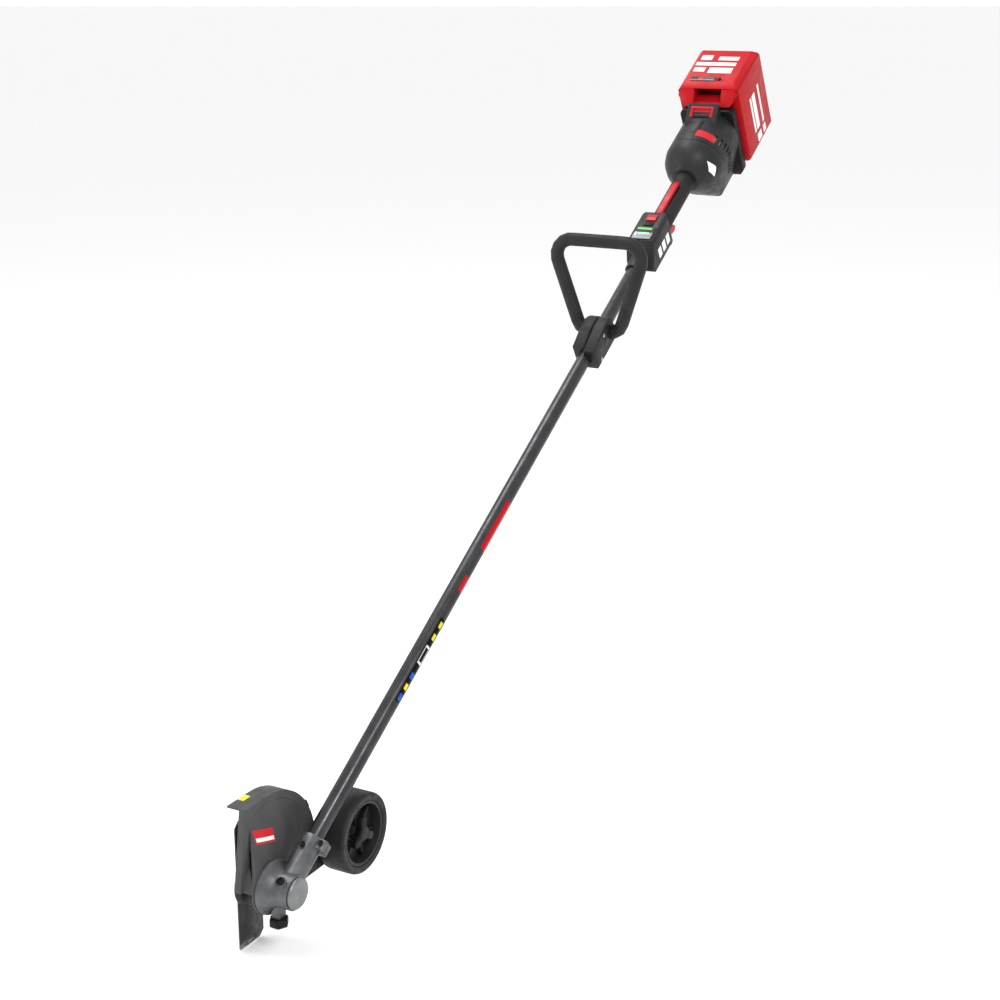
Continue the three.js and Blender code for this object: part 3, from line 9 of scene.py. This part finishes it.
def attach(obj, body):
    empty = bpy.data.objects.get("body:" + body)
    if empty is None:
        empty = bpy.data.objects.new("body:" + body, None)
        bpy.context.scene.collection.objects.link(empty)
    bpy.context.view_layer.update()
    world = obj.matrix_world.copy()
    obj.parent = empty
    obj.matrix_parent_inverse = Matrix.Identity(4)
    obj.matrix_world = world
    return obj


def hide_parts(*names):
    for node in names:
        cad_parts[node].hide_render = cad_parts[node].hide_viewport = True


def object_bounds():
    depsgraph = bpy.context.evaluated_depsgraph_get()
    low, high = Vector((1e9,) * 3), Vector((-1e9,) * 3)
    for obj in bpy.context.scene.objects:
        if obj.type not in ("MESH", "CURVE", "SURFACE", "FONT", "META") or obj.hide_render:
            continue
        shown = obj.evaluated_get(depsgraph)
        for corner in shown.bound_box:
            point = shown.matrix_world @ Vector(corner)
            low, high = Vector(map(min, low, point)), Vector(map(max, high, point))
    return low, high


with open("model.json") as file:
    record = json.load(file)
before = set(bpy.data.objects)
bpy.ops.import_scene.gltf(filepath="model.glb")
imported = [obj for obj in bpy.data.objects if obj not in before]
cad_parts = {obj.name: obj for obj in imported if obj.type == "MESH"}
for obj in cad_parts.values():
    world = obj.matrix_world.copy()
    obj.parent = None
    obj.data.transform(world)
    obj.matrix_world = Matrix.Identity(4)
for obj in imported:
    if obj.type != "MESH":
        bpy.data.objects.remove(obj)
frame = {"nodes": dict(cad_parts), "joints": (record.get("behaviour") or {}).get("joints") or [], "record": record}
cad_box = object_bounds()

# ---------------------------------------------------------------- room, light and camera
# The edger hangs over a pale floor, as if held at its rear grip, under broad soft lamps.
# The camera stands at the operator's front left, a little above the shaft.
scene = bpy.context.scene
bpy.ops.object.select_all(action="DESELECT")
low, high = cad_box
floor_gap = 0.002
bpy.ops.mesh.primitive_plane_add(size=600, location=(0, 0, low.z - floor_gap))
floor = bpy.context.object
floor.name = "studio_floor"
paper = bpy.data.materials.new("studio_paper")
paper.use_nodes = True
paper_shader = paper.node_tree.nodes["Principled BSDF"]
paper_shader.inputs["Base Color"].default_value = (0.93, 0.93, 0.93, 1)
paper_shader.inputs["Roughness"].default_value = 0.9
floor.data.materials.append(paper)

sky = bpy.data.worlds.new("studio_sky")
sky.use_nodes = True
glow = sky.node_tree.nodes["Background"]
glow.inputs["Color"].default_value = (1, 1, 1, 1)
glow.inputs["Strength"].default_value = 1.0
scene.world = sky
scene.view_settings.view_transform = "Standard"

camera_data = bpy.data.cameras.new("camera")
camera_data.lens = 62.96
camera_data.sensor_width = 36
camera_data.clip_end = 100
camera = bpy.data.objects.new("camera", camera_data)
camera.location = (-1.3487, 3.1443, 0.4215)
look = Vector((0.4604, -0.8410, -0.2840))
camera.rotation_mode = "QUATERNION"
camera.rotation_quaternion = look.to_track_quat("-Z", "Y")
scene.collection.objects.link(camera)
scene.camera = camera


def lamp(name, place, aim, size, power):
    """A square soft box that faces the point it aims at."""
    data = bpy.data.lights.new(name, "AREA")
    data.shape = "SQUARE"
    data.size = size
    data.energy = power
    box = bpy.data.objects.new(name, data)
    box.location = place
    box.rotation_mode = "QUATERNION"
    box.rotation_quaternion = (Vector(aim) - Vector(place)).to_track_quat("-Z", "Y")
    scene.collection.objects.link(box)


centre = (low + high) / 2
lamp("key_lamp", centre + Vector((-2.2, 2.4, 2.6)), centre, 1.2, 70)
lamp("top_lamp", centre + Vector((1.2, -0.4, 3.2)), centre, 1.6, 60)
lamp("rim_lamp", centre + Vector((2.6, 1.6, 0.6)), centre, 0.8, 25)


# ---------------------------------------------------------------- drawn tube of the shaft
# The shaft is a 26 mm drawn aluminium tube, anodised gunmetal. It is gripped by the gear
# case at the front and runs through the controls and grip into the motor's front cover.
class Wire:
    """A number, colour or vector on its way through a material, worked on as in Python."""

    def __init__(self, finish, socket):
        self.finish = finish
        self.socket = socket

    def math(self, operation, *others):
        values = {i: value for i, value in enumerate((self, *others))}
        return self.finish.add("ShaderNodeMath", {"operation": operation}, values)

    def __add__(self, other):
        return self.math("ADD", other)

    def __mul__(self, other):
        return self.math("MULTIPLY", other)

    def __sub__(self, other):
        return self.math("SUBTRACT", other)

    def __rsub__(self, other):
        return self.math("MULTIPLY", -1.0) + other

    def __pow__(self, other):
        return self.math("POWER", other)

    __radd__ = __add__
    __rmul__ = __mul__

    def between(self, start, end, to_start=0.0, to_end=1.0):
        """A smooth step from one value to another as the number goes from start to end."""
        return self.finish.add("ShaderNodeMapRange", {"interpolation_type": "SMOOTHSTEP"},
                               {"Value": self, "From Min": start, "From Max": end,
                                "To Min": to_start, "To Max": to_end})


class Finish:
    """One material: a principled shader and the nodes that feed it."""

    def __init__(self, name, color, roughness, metallic=0.0, coat=0.0, gleam=0.25):
        self.material = bpy.data.materials.new(name)
        self.material.use_nodes = True
        self.tree = self.material.node_tree
        self.shader = self.tree.nodes["Principled BSDF"]
        self.color = color
        self.shader.inputs["Base Color"].default_value = (*color, 1)
        self.shader.inputs["Roughness"].default_value = roughness
        self.shader.inputs["Metallic"].default_value = metallic
        self.shader.inputs["Coat Weight"].default_value = coat
        self.shader.inputs["Coat Roughness"].default_value = 0.15
        self.shader.inputs["Specular IOR Level"].default_value = gleam
        self.place = self.add("ShaderNodeTexCoord", {}, {}, "Object")
        self.paint = None

    def add(self, kind, settings, values, output=0):
        """Adds a node: its settings first, then the values or wires of its sockets."""
        node = self.tree.nodes.new(kind)
        for name, value in settings.items():
            setattr(node, name, value)
        for name, value in values.items():
            if isinstance(value, Wire):
                self.tree.links.new(value.socket, node.inputs[name])
            else:
                node.inputs[name].default_value = value
        return Wire(self, node.outputs[output])

    def feed(self, socket, wire):
        self.tree.links.new(wire.socket, self.shader.inputs[socket])

    def noise(self, scale, detail=3.0, stretch=None):
        where = self.place
        if stretch:
            where = self.add("ShaderNodeMapping", {}, {"Vector": self.place, "Scale": stretch})
        return self.add("ShaderNodeTexNoise", {}, {"Vector": where, "Scale": scale, "Detail": detail})

    def along(self, direction, origin=(0, 0, 0)):
        """How far a point lies from the origin in a direction, in metres."""
        offset = -Vector(direction).dot(Vector(origin))
        dot = self.add("ShaderNodeVectorMath", {"operation": "DOT_PRODUCT"},
                       {0: self.place, 1: tuple(direction)}, "Value")
        return dot + offset

    def mix(self, mask, under, over):
        """Colour under where the mask is 0 and over where it is 1."""
        as_color = lambda c: c if isinstance(c, Wire) else (*c, 1)
        return self.add("ShaderNodeMix", {"data_type": "RGBA"},
                        {0: mask, 6: as_color(under), 7: as_color(over)}, 2)

    def mottle(self, amount, scale=22.0):
        """Slow light and dark patches, as in moulded or blasted surfaces."""
        patch = self.noise(scale, 4.0).between(0.3, 0.7)
        dark = tuple(c * (1 - amount) for c in self.color)
        light = tuple(min(1.0, c * (1 + amount)) for c in self.color)
        self.paint = self.mix(patch, dark, light)
        self.feed("Base Color", self.paint)
        return self

    def patch(self, mask, color):
        """A printed or stuck-on patch of another colour."""
        under = self.paint if self.paint else self.color
        self.paint = self.mix(mask, under, color)
        self.feed("Base Color", self.paint)
        return self

    def grain(self, size, strength):
        """Fine raised grain, its size in metres."""
        return self.raise_by(self.noise(1 / size), strength, size * 0.3)

    def raise_by(self, height, strength, distance):
        """Relief that the surface is too coarse to carry."""
        bump = self.add("ShaderNodeBump", {}, {"Strength": strength, "Distance": distance,
                                               "Height": height})
        self.feed("Normal", bump)
        return self

    def rub(self, base, spread, scale=60.0):
        """Roughness that varies where hands and dust have been."""
        worn = self.noise(scale, 5.0).between(0.35, 0.7, base - spread, base + spread)
        self.feed("Roughness", worn)
        return self


def box_mask(u, v, half_u, half_v, soft=0.0002):
    """1 inside a rectangle given by its half sizes, 0 outside."""
    over = (u.math("ABSOLUTE") - half_u).math("MAXIMUM", v.math("ABSOLUTE") - half_v)
    return over.between(-soft, soft, 1.0, 0.0)


def stamp(finish, u, u_span, v, v_span, color, gate=None):
    """Prints a rectangle between two places along each of two directions."""
    mask = box_mask(u - sum(u_span) / 2, v - sum(v_span) / 2,
                    (u_span[1] - u_span[0]) / 2, (v_span[1] - v_span[0]) / 2)
    return finish.patch(mask * gate if gate else mask, color)


behaviour = frame["record"]["behaviour"]
body_of_node = {node: body for body, members in behaviour["bodies"].items() for node in members}


def select_only(piece):
    bpy.ops.object.select_all(action="DESELECT")
    piece.select_set(True)
    bpy.context.view_layer.objects.active = piece


def settle(piece, node, finish, name=None):
    """Names a piece, gives it its finish and attaches it to the body of a node."""
    piece.name = name or f"{node}_skin"
    piece.data.materials.clear()
    piece.data.materials.append(finish.material)
    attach(piece, body_of_node[node])


SHARP = math.radians(32)     # edges that turn more than this are broken


def machined(node, finish, edge, segments=2):
    """A finer copy of a node: welded, flats made whole, edges broken and curves smoothed."""
    piece = bpy.data.objects.new(node, frame["nodes"][node].data.copy())
    scene.collection.objects.link(piece)
    select_only(piece)
    bpy.ops.object.mode_set(mode="EDIT")
    bpy.ops.mesh.select_all(action="SELECT")
    bpy.ops.mesh.remove_doubles(threshold=0.00001)
    bpy.ops.mesh.dissolve_limited(angle_limit=math.radians(0.5))
    bpy.ops.object.mode_set(mode="OBJECT")
    bevel = piece.modifiers.new("edge", "BEVEL")
    bevel.width = edge
    bevel.segments = segments
    bevel.limit_method = "ANGLE"
    bevel.angle_limit = SHARP
    bevel.use_clamp_overlap = True
    bpy.ops.object.modifier_apply(modifier="edge")
    bpy.ops.object.shade_smooth_by_angle(angle=SHARP)
    settle(piece, node, finish)
    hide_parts(node)
    return piece


# The shaft's own directions: back along it and square to it, on its upper side.
joint_named = {joint["name"]: joint for joint in frame["joints"]}
BACK = Vector(joint_named["handle_slide"]["axis"])
UP = Vector((0, BACK.z, -BACK.y))
ACROSS = Vector((1, 0, 0))
SPINDLE = Vector(joint_named["blade_spin"]["pos_m"])
GRIP_PLACE = 1.56        # from the spindle back to the origin, along the shaft


def shaft_places(finish):
    """A point's distances across, up from the shaft's axis and back from the spindle."""
    return finish.along(ACROSS), finish.along(UP), finish.along(BACK) + GRIP_PLACE


def head_places(finish):
    """A point's distances forward of the spindle and above it."""
    return finish.along((0, 1, 0), SPINDLE), finish.along((0, 0, 1), SPINDLE)


white_ink = (0.80, 0.80, 0.80)
red_ink = (0.50, 0.010, 0.018)
black_ink = (0.006, 0.006, 0.006)
yellow_ink = (0.78, 0.66, 0.02)
blue_ink = (0.02, 0.10, 0.45)
gunmetal = Finish("gunmetal_tube", (0.05, 0.05, 0.053), 0.24, 0.8)
gunmetal.mottle(0.12, 30.0).rub(0.3, 0.07, 80.0)
gunmetal.grain(0.0004, 0.08)
across, rise, back = shaft_places(gunmetal)
outer_side = across.between(-0.0100, -0.0096, 1.0, 0.0)
label_rise = 0.0025
for ends, width, ink in (((0.662, 0.772), 0.0062, red_ink), ((0.572, 0.604), 0.0050, red_ink),
                         ((0.344, 0.512), 0.0072, black_ink), ((0.494, 0.506), 0.0030, yellow_ink),
                         ((0.469, 0.481), 0.0030, yellow_ink), ((0.420, 0.456), 0.0045, white_ink),
                         ((0.424, 0.452), 0.0035, black_ink), ((0.390, 0.402), 0.0036, blue_ink),
                         ((0.369, 0.380), 0.0032, yellow_ink), ((0.347, 0.360), 0.0036, blue_ink)):
    stamp(gunmetal, rise, (label_rise - width, label_rise + width), back, ends, ink, outer_side)
machined("shaft_tube", gunmetal, 0.0003)

steel = Finish("ground_steel", (0.45, 0.46, 0.48), 0.32, 1.0)
steel.mottle(0.15, 90.0).rub(0.32, 0.1, 200.0)
for node in ("drive_shaft", "bevel_pinion", "bevel_gear", "spindle", "pinion_bearing",
             "spindle_bearing_left", "spindle_bearing_right", "motor_bearing_front",
             "motor_bearing_rear", "trigger_pin", "wheel_axle", "axle_nut", "blade_nut",
             "guard_screw_1", "guard_screw_2", "arm_bolt_1", "arm_bolt_2", "clamp_screw_1",
             "clamp_screw_2"):
    machined(node, steel, 0.0003)

bush_rubber = Finish("bush_rubber", (0.03, 0.03, 0.03), 0.7)
bush_rubber.mottle(0.2).grain(0.0006, 0.2)
for node in ("shaft_bush_1", "shaft_bush_2"):
    machined(node, bush_rubber, 0.0003)

# ---------------------------------------------------------------- gear case
# A die-cast aluminium case, blasted and left bare, with its sleeve clamped on the tube
# by a pinch bolt and held by a locating screw. A turned cap closes the spindle's end.
cast = Finish("blasted_casting", (0.115, 0.117, 0.12), 0.42, 0.8)
cast.mottle(0.18, 45.0).rub(0.46, 0.08, 120.0)
cast.grain(0.0007, 0.35)
machined("gear_case", cast, 0.0008)
turned_cap = Finish("turned_cap", (0.18, 0.183, 0.186), 0.4, 0.7)
turned_cap.mottle(0.1, 60.0).rub(0.38, 0.06, 140.0).grain(0.0005, 0.15)
machined("gear_case_end_cap", turned_cap, 0.0008)


def socket(piece, direction, rim, depth):
    """Sinks a socket into the face that looks in a direction, inside a rim."""
    select_only(piece)
    bpy.ops.object.mode_set(mode="EDIT")
    bpy.ops.mesh.select_mode(type="FACE")
    mesh = bmesh.from_edit_mesh(piece.data)
    flats = [f for f in mesh.faces if f.normal.dot(direction) > 0.99]
    top = max(f.calc_center_median().dot(direction) for f in flats)
    for face in mesh.faces:
        face.select_set(face in flats and face.calc_center_median().dot(direction) > top - 0.0001)
    bmesh.update_edit_mesh(piece.data)
    bpy.ops.mesh.inset(thickness=rim)
    bpy.ops.mesh.extrude_region_move(TRANSFORM_OT_translate={"value": Vector(direction) * -depth})
    bpy.ops.object.mode_set(mode="OBJECT")


black_oxide = Finish("black_oxide", (0.02, 0.02, 0.022), 0.4, 0.8)
black_oxide.mottle(0.25, 120.0).rub(0.4, 0.1, 240.0)
for node in ("sleeve_pinch_bolt", "sleeve_locating_screw"):
    socket(machined(node, black_oxide, 0.0004), UP, 0.0014, 0.0022)
# A round plug with a sunk socket closes the grease hole in the boss above the gears.
boss_top = SPINDLE + BACK * -0.003 + ACROSS * -0.007 + UP * 0.0305
plug_radius, plug_height, plug_sunk = 0.0066, 0.0032, 0.0009
bpy.ops.object.select_all(action="DESELECT")
bpy.ops.mesh.primitive_cylinder_add(vertices=48, radius=plug_radius, depth=plug_height,
                                    location=boss_top + UP * (plug_height / 2 - plug_sunk),
                                    rotation=UP.to_track_quat("Z", "Y").to_euler())
plug = bpy.context.object
bpy.ops.object.transform_apply(location=True, rotation=True, scale=True)
rim = plug.modifiers.new("rim", "BEVEL")
rim.width = 0.0006
rim.segments = 3
rim.limit_method = "ANGLE"
bpy.ops.object.modifier_apply(modifier="rim")
socket(plug, UP, 0.0024, 0.0016)
bpy.ops.object.shade_smooth_by_angle(angle=SHARP)
settle(plug, "gear_case", black_oxide, "grease_plug")

black_plastic = Finish("black_plastic", (0.006, 0.006, 0.0065), 0.5, gleam=0.14)
black_plastic.mottle(0.25, 40.0).rub(0.48, 0.1, 90.0)
black_plastic.grain(0.0008, 0.2)
machined("guard_knob", black_plastic, 0.0008)

# ---------------------------------------------------------------- blade
# A flat bar of spring steel with a dark coat, bolted between a wide dished flange and a
# flanged nut. Its ends are ground bright where they meet the soil.
blade_coat = Finish("blade_coat", (0.022, 0.0225, 0.024), 0.5, 0.3)
tip = blade_coat.along((0, 0, 1), SPINDLE).math("ABSOLUTE")
scuffs = blade_coat.noise(220.0, 6.0, (1.0, 0.25, 1.0))
worn = tip.between(0.085, 0.102) * scuffs.between(0.45, 0.62)
blade_coat.mottle(0.2, 35.0).patch(worn, (0.28, 0.28, 0.29)).rub(0.42, 0.12, 150.0)
blade_coat.grain(0.0006, 0.12)
for node in ("blade", "blade_flange"):
    machined(node, blade_coat, 0.0005)

# ---------------------------------------------------------------- guard and flap
# One moulding of tough grey plastic, dished round the spindle, with a rim that reaches
# over the blade. A rubber flap is riveted under a strip at its rear.
guard_grey = Finish("guard_grey", (0.052, 0.052, 0.054), 0.5)
guard_grey.mottle(0.12, 30.0).rub(0.55, 0.08, 70.0)
forward, upward = head_places(guard_grey)
across = guard_grey.along(ACROSS)
left_face = across.between(0.0436, 0.0446, 1.0, 0.0)
leaning = upward + forward * -0.26
stamp(guard_grey, forward, (-0.024, 0.0160), leaning, (0.066, 0.086), red_ink, left_face)
stamp(guard_grey, forward, (-0.022, 0.0140), leaning, (0.069, 0.0745), white_ink, left_face)
roof = upward.between(0.1262, 0.1266)
stamp(guard_grey, across, (0.064, 0.0745), forward, (-0.013, 0.004), yellow_ink, roof)
radius = ((forward + 0.025) ** 2.0 + (upward - 0.012) ** 2.0) ** 0.5
ridge = (radius - 0.104).math("ABSOLUTE").between(0.0006, 0.0016, 1.0, 0.0)
roof_ridge = (across - 0.056).math("ABSOLUTE").between(0.0006, 0.0016, 1.0, 0.0)
grooves = ridge.math("MAXIMUM", roof_ridge)
fine = guard_grey.noise(1100.0)
guard_grey.raise_by(grooves + fine * 0.12, 0.5, 0.0012)
machined("blade_guard", guard_grey, 0.0009)
flap_rubber = Finish("flap_rubber", (0.005, 0.005, 0.005), 0.7, gleam=0.15)
flap_rubber.mottle(0.3, 50.0).grain(0.001, 0.3)
machined("debris_flap", flap_rubber, 0.0004)
strip_coat = Finish("strip_coat", (0.02, 0.02, 0.021), 0.45, 0.6)
strip_coat.mottle(0.2, 80.0).rub(0.45, 0.1)
machined("flap_strip", strip_coat, 0.0003)

# ---------------------------------------------------------------- wheel and arm
# The arm is a black moulded plate bolted to the guard. The wheel turns on an axle that
# the three-lobed knob clamps anywhere along the arm's slot.
machined("wheel_arm", black_plastic, 0.0008)
hub_plastic = Finish("hub_plastic", (0.012, 0.012, 0.0125), 0.5)
hub_plastic.mottle(0.15, 50.0).rub(0.5, 0.08).grain(0.0008, 0.25)
machined("wheel_hub", hub_plastic, 0.0008)
tyre_rubber = Finish("tyre_rubber", (0.014, 0.014, 0.014), 0.6)
tyre_rubber.mottle(0.2, 40.0).rub(0.6, 0.1, 60.0).grain(0.0012, 0.35)
machined("wheel_tyre", tyre_rubber, 0.0012)
machined("wheel_knob", black_plastic, 0.0008)
# Six moulded ribs stiffen the hub's dished outer face, round the boss under the knob.
axle = Vector(joint_named["wheel_spin"]["pos_m"])
rib_count, rib_across, rib_out = 6, -0.002, 0.030
rib_size = (0.0085, 0.0295, 0.0034)      # across, outward and round the hub
ribs = []
for number in range(rib_count):
    turn = math.radians(360 / rib_count * number + 15)
    spoke = Matrix.Rotation(turn, 3, "X") @ Vector((0, rib_out, 0))
    bpy.ops.object.select_all(action="DESELECT")
    bpy.ops.mesh.primitive_cube_add(size=1, scale=rib_size, rotation=(turn, 0, 0),
                                    location=(rib_across, axle.y + spoke.y, axle.z + spoke.z))
    rib = bpy.context.object
    bpy.ops.object.transform_apply(location=True, rotation=True, scale=True)
    bpy.ops.object.mode_set(mode="EDIT")
    bpy.ops.mesh.select_all(action="SELECT")
    bpy.ops.mesh.bevel(offset=0.0009, segments=2)
    bpy.ops.object.mode_set(mode="OBJECT")
    ribs.append(rib)
select_only(ribs[0])
for rib in ribs:
    rib.select_set(True)
bpy.ops.object.join()
bpy.ops.object.shade_smooth_by_angle(angle=SHARP)
settle(bpy.context.object, "wheel_hub", hub_plastic, "hub_ribs")

# ---------------------------------------------------------------- loop handle and clamp
# A bent tube under a tight foam sleeve, held by two moulded clamp halves that screws
# draw together round the shaft.
sleeve_rubber = Finish("handle_sleeve", (0.012, 0.012, 0.0125), 0.52)
sleeve_rubber.mottle(0.15, 35.0).rub(0.58, 0.08).grain(0.0007, 0.3)
machined("loop_handle", sleeve_rubber, 0.0003)
clamp_plastic = Finish("clamp_plastic", (0.012, 0.012, 0.0125), 0.48)
clamp_plastic.mottle(0.15, 45.0).rub(0.5, 0.08).grain(0.0008, 0.3)
for node in ("handle_clamp_left", "handle_clamp_right"):
    machined(node, clamp_plastic, 0.0012)

# ---------------------------------------------------------------- controls and grip
# Two glass-filled shells closed round the tube, with a display window, two push buttons,
# a trigger below and a lock-out lever along the top of the grip.
box_plastic = Finish("box_plastic", (0.014, 0.014, 0.0155), 0.45)
box_plastic.mottle(0.12, 40.0).rub(0.45, 0.08).grain(0.0009, 0.3)
across, rise, back = shaft_places(box_plastic)
left_flank = across.between(-0.0279, -0.0277, 1.0, 0.0)
for ends in ((1.432, 1.446), (1.452, 1.466), (1.472, 1.486)):
    stamp(box_plastic, rise, (-0.015, 0.006), back, ends, white_ink, left_flank)
for node in ("control_housing_left", "control_housing_right"):
    machined(node, box_plastic, 0.002, segments=3)
display_glass = Finish("display_glass", (0.006, 0.007, 0.009), 0.12, 0.0, 0.6)
display_glass.mottle(0.2, 60.0).rub(0.12, 0.04, 90.0)
across, rise, back = shaft_places(display_glass)
for sides, ends, ink in (((-0.013, 0.016), (1.4530, 1.4580), (0.10, 0.75, 0.12)),
                         ((-0.012, 0.011), (1.4400, 1.4445), (0.15, 0.55, 0.25)),
                         ((0.0135, 0.0165), (1.4350, 1.4450), (0.7, 0.7, 0.7)),
                         ((-0.017, 0.017), (1.4300, 1.4312), (0.10, 0.22, 0.35))):
    stamp(display_glass, across, sides, back, ends, ink)
machined("display_panel", display_glass, 0.0004)
signal_red = Finish("signal_red", (0.40, 0.006, 0.012), 0.4)
signal_red.mottle(0.1, 50.0).rub(0.38, 0.08).grain(0.0006, 0.12)
for node in ("power_button", "trigger", "lockout_lever"):
    machined(node, signal_red, 0.0008)
machined("mode_button", black_plastic, 0.0008)
grip_rubber = Finish("grip_rubber", (0.012, 0.012, 0.0125), 0.6)
grip_rubber.mottle(0.15, 40.0).rub(0.64, 0.08).grain(0.0012, 0.5)
for node in ("grip_left", "grip_right"):
    machined(node, grip_rubber, 0.0005)

# ---------------------------------------------------------------- motor and dock
# A two-piece drum of dark glass-filled plastic holds the motor, fan and board. The dock
# behind it carries the battery's rails and a rubber foot.
shell_plastic = Finish("shell_plastic", (0.014, 0.014, 0.0155), 0.45)
shell_plastic.mottle(0.12, 40.0).rub(0.5, 0.08).grain(0.0009, 0.35)
across, rise, back = shaft_places(shell_plastic)
seam_place, seam_slope = 1.7113, 0.1
from_seam = (back + rise * seam_slope - seam_place).math("ABSOLUTE")
shell_plastic.patch(from_seam.between(0.0014, 0.0018, 1.0, 0.0), black_ink)
top_side = rise.between(0.036, 0.038)
stamp(shell_plastic, across, (-0.043, -0.006), back, (1.7180, 1.7360), red_ink, top_side)
left_side = across.between(-0.031, -0.030, 1.0, 0.0)
from_badge = (rise - 0.0105).math("ABSOLUTE") + (back - 1.6770).math("ABSOLUTE") * 2.3
shell_plastic.patch(from_badge.between(0.0185, 0.0189, 1.0, 0.0) * left_side, white_ink)
belly_front = back.between(1.7235, 1.7240, 1.0, 0.0)
pale_green = (0.45, 0.60, 0.52)
stamp(shell_plastic, across, (-0.002, 0.034), rise, (-0.0965, -0.084), pale_green, belly_front)
for node in ("motor_front_cover", "motor_housing"):
    machined(node, shell_plastic, 0.0015, segments=3)
# Painted shade: the latch's finger pocket is stamped in black across it, halfway up its slanted ramp, for the
# shade that falls inside it.
latch_red = Finish("latch_red", (0.40, 0.006, 0.012), 0.4)
latch_red.mottle(0.1, 50.0).rub(0.4, 0.08)
across, rise, back = shaft_places(latch_red)
up_ramp = back * 0.867 + rise * 0.499
stamp(latch_red, across, (-0.0185, 0.0185), up_ramp, (1.5657, 1.5783), black_ink)
machined("battery_latch", latch_red, 0.0006)
machined("battery_dock", black_plastic, 0.0015, segments=3)
machined("support_foot", bush_rubber, 0.001)
copper = Finish("wound_copper", (0.42, 0.17, 0.07), 0.4, 0.9)
copper.mottle(0.2, 200.0).rub(0.4, 0.1)
machined("stator", copper, 0.0004)
lamination = Finish("lamination_steel", (0.1, 0.1, 0.11), 0.4, 0.9)
lamination.mottle(0.2, 200.0).rub(0.4, 0.1)
machined("rotor", lamination, 0.0004)
machined("cooling_fan", black_plastic, 0.0003)
board_green = Finish("board_green", (0.015, 0.11, 0.05), 0.4)
board_green.mottle(0.2, 150.0).rub(0.4, 0.1)
machined("controller_board", board_green, 0.0003)

# ---------------------------------------------------------------- battery
# A red moulded case of cells that slides down the dock's rails, with a finger recess in
# front and a charge gauge on top.
battery_red = Finish("battery_red", (0.40, 0.005, 0.009), 0.4, gleam=0.14)
battery_red.mottle(0.06, 20.0).rub(0.4, 0.06, 50.0).grain(0.0007, 0.12)
across, rise, back = shaft_places(battery_red)
top_face = rise.between(0.0974, 0.0977)
for sides, ends in (((-0.035, 0.008), (1.914, 1.926)), ((0.022, 0.046), (1.914, 1.930)),
                    ((-0.035, 0.050), (1.895, 1.906)), ((-0.034, 0.016), (1.870, 1.888)),
                    ((0.024, 0.048), (1.874, 1.888))):
    stamp(battery_red, across, sides, back, ends, white_ink, top_face)
side_face = across.between(-0.0638, -0.0635, 1.0, 0.0)
for heights, ends in (((-0.045, 0.036), (1.870, 1.878)), ((-0.045, 0.036), (1.882, 1.898)),
                      ((-0.048, 0.040), (1.914, 1.922)), ((-0.072, -0.054), (1.878, 1.900)),
                      ((-0.072, -0.054), (1.910, 1.924))):
    stamp(battery_red, rise, heights, back, ends, white_ink, side_face)
# Painted shade: the inside of the front finger recess is coloured a near-black red for the shade that falls in it.
behind_face = (back - rise * 0.8).between(1.7595, 1.7615)
recess_shade = box_mask(across, rise - 0.0785, 0.0288, 0.0123) * behind_face
battery_red.patch(recess_shade, (0.045, 0.002, 0.003))
# Painted shade: a thin darker red line along a crease of the battery's flank.
flank = across.between(-0.0560, -0.0555, 1.0, 0.0)
crease_shade = (across + rise * 0.35 + 0.0300).math("ABSOLUTE").between(0.0004, 0.0008, 1.0, 0.0)
battery_red.patch(crease_shade * flank, (0.12, 0.003, 0.005))
machined("battery_case", battery_red, 0.004, segments=3)
gauge_glass = Finish("gauge_glass", (0.008, 0.008, 0.009), 0.2, 0.0, 0.4)
gauge_glass.mottle(0.2, 60.0).rub(0.2, 0.04, 90.0)
across, rise, back = shaft_places(gauge_glass)
stamp(gauge_glass, across, (-0.0080, 0.0125), back, (1.8450, 1.8520), (0.20, 0.20, 0.21))
stamp(gauge_glass, across, (0.0150, 0.0265), back, (1.8450, 1.8520), (0.45, 0.012, 0.018))
for number in range(4):
    side = -0.0066 + number * 0.0048
    stamp(gauge_glass, across, (side, side + 0.0034), back, (1.8462, 1.8508), black_ink)
machined("charge_indicator", gauge_glass, 0.0004)
machined("charge_button", black_plastic, 0.0005)
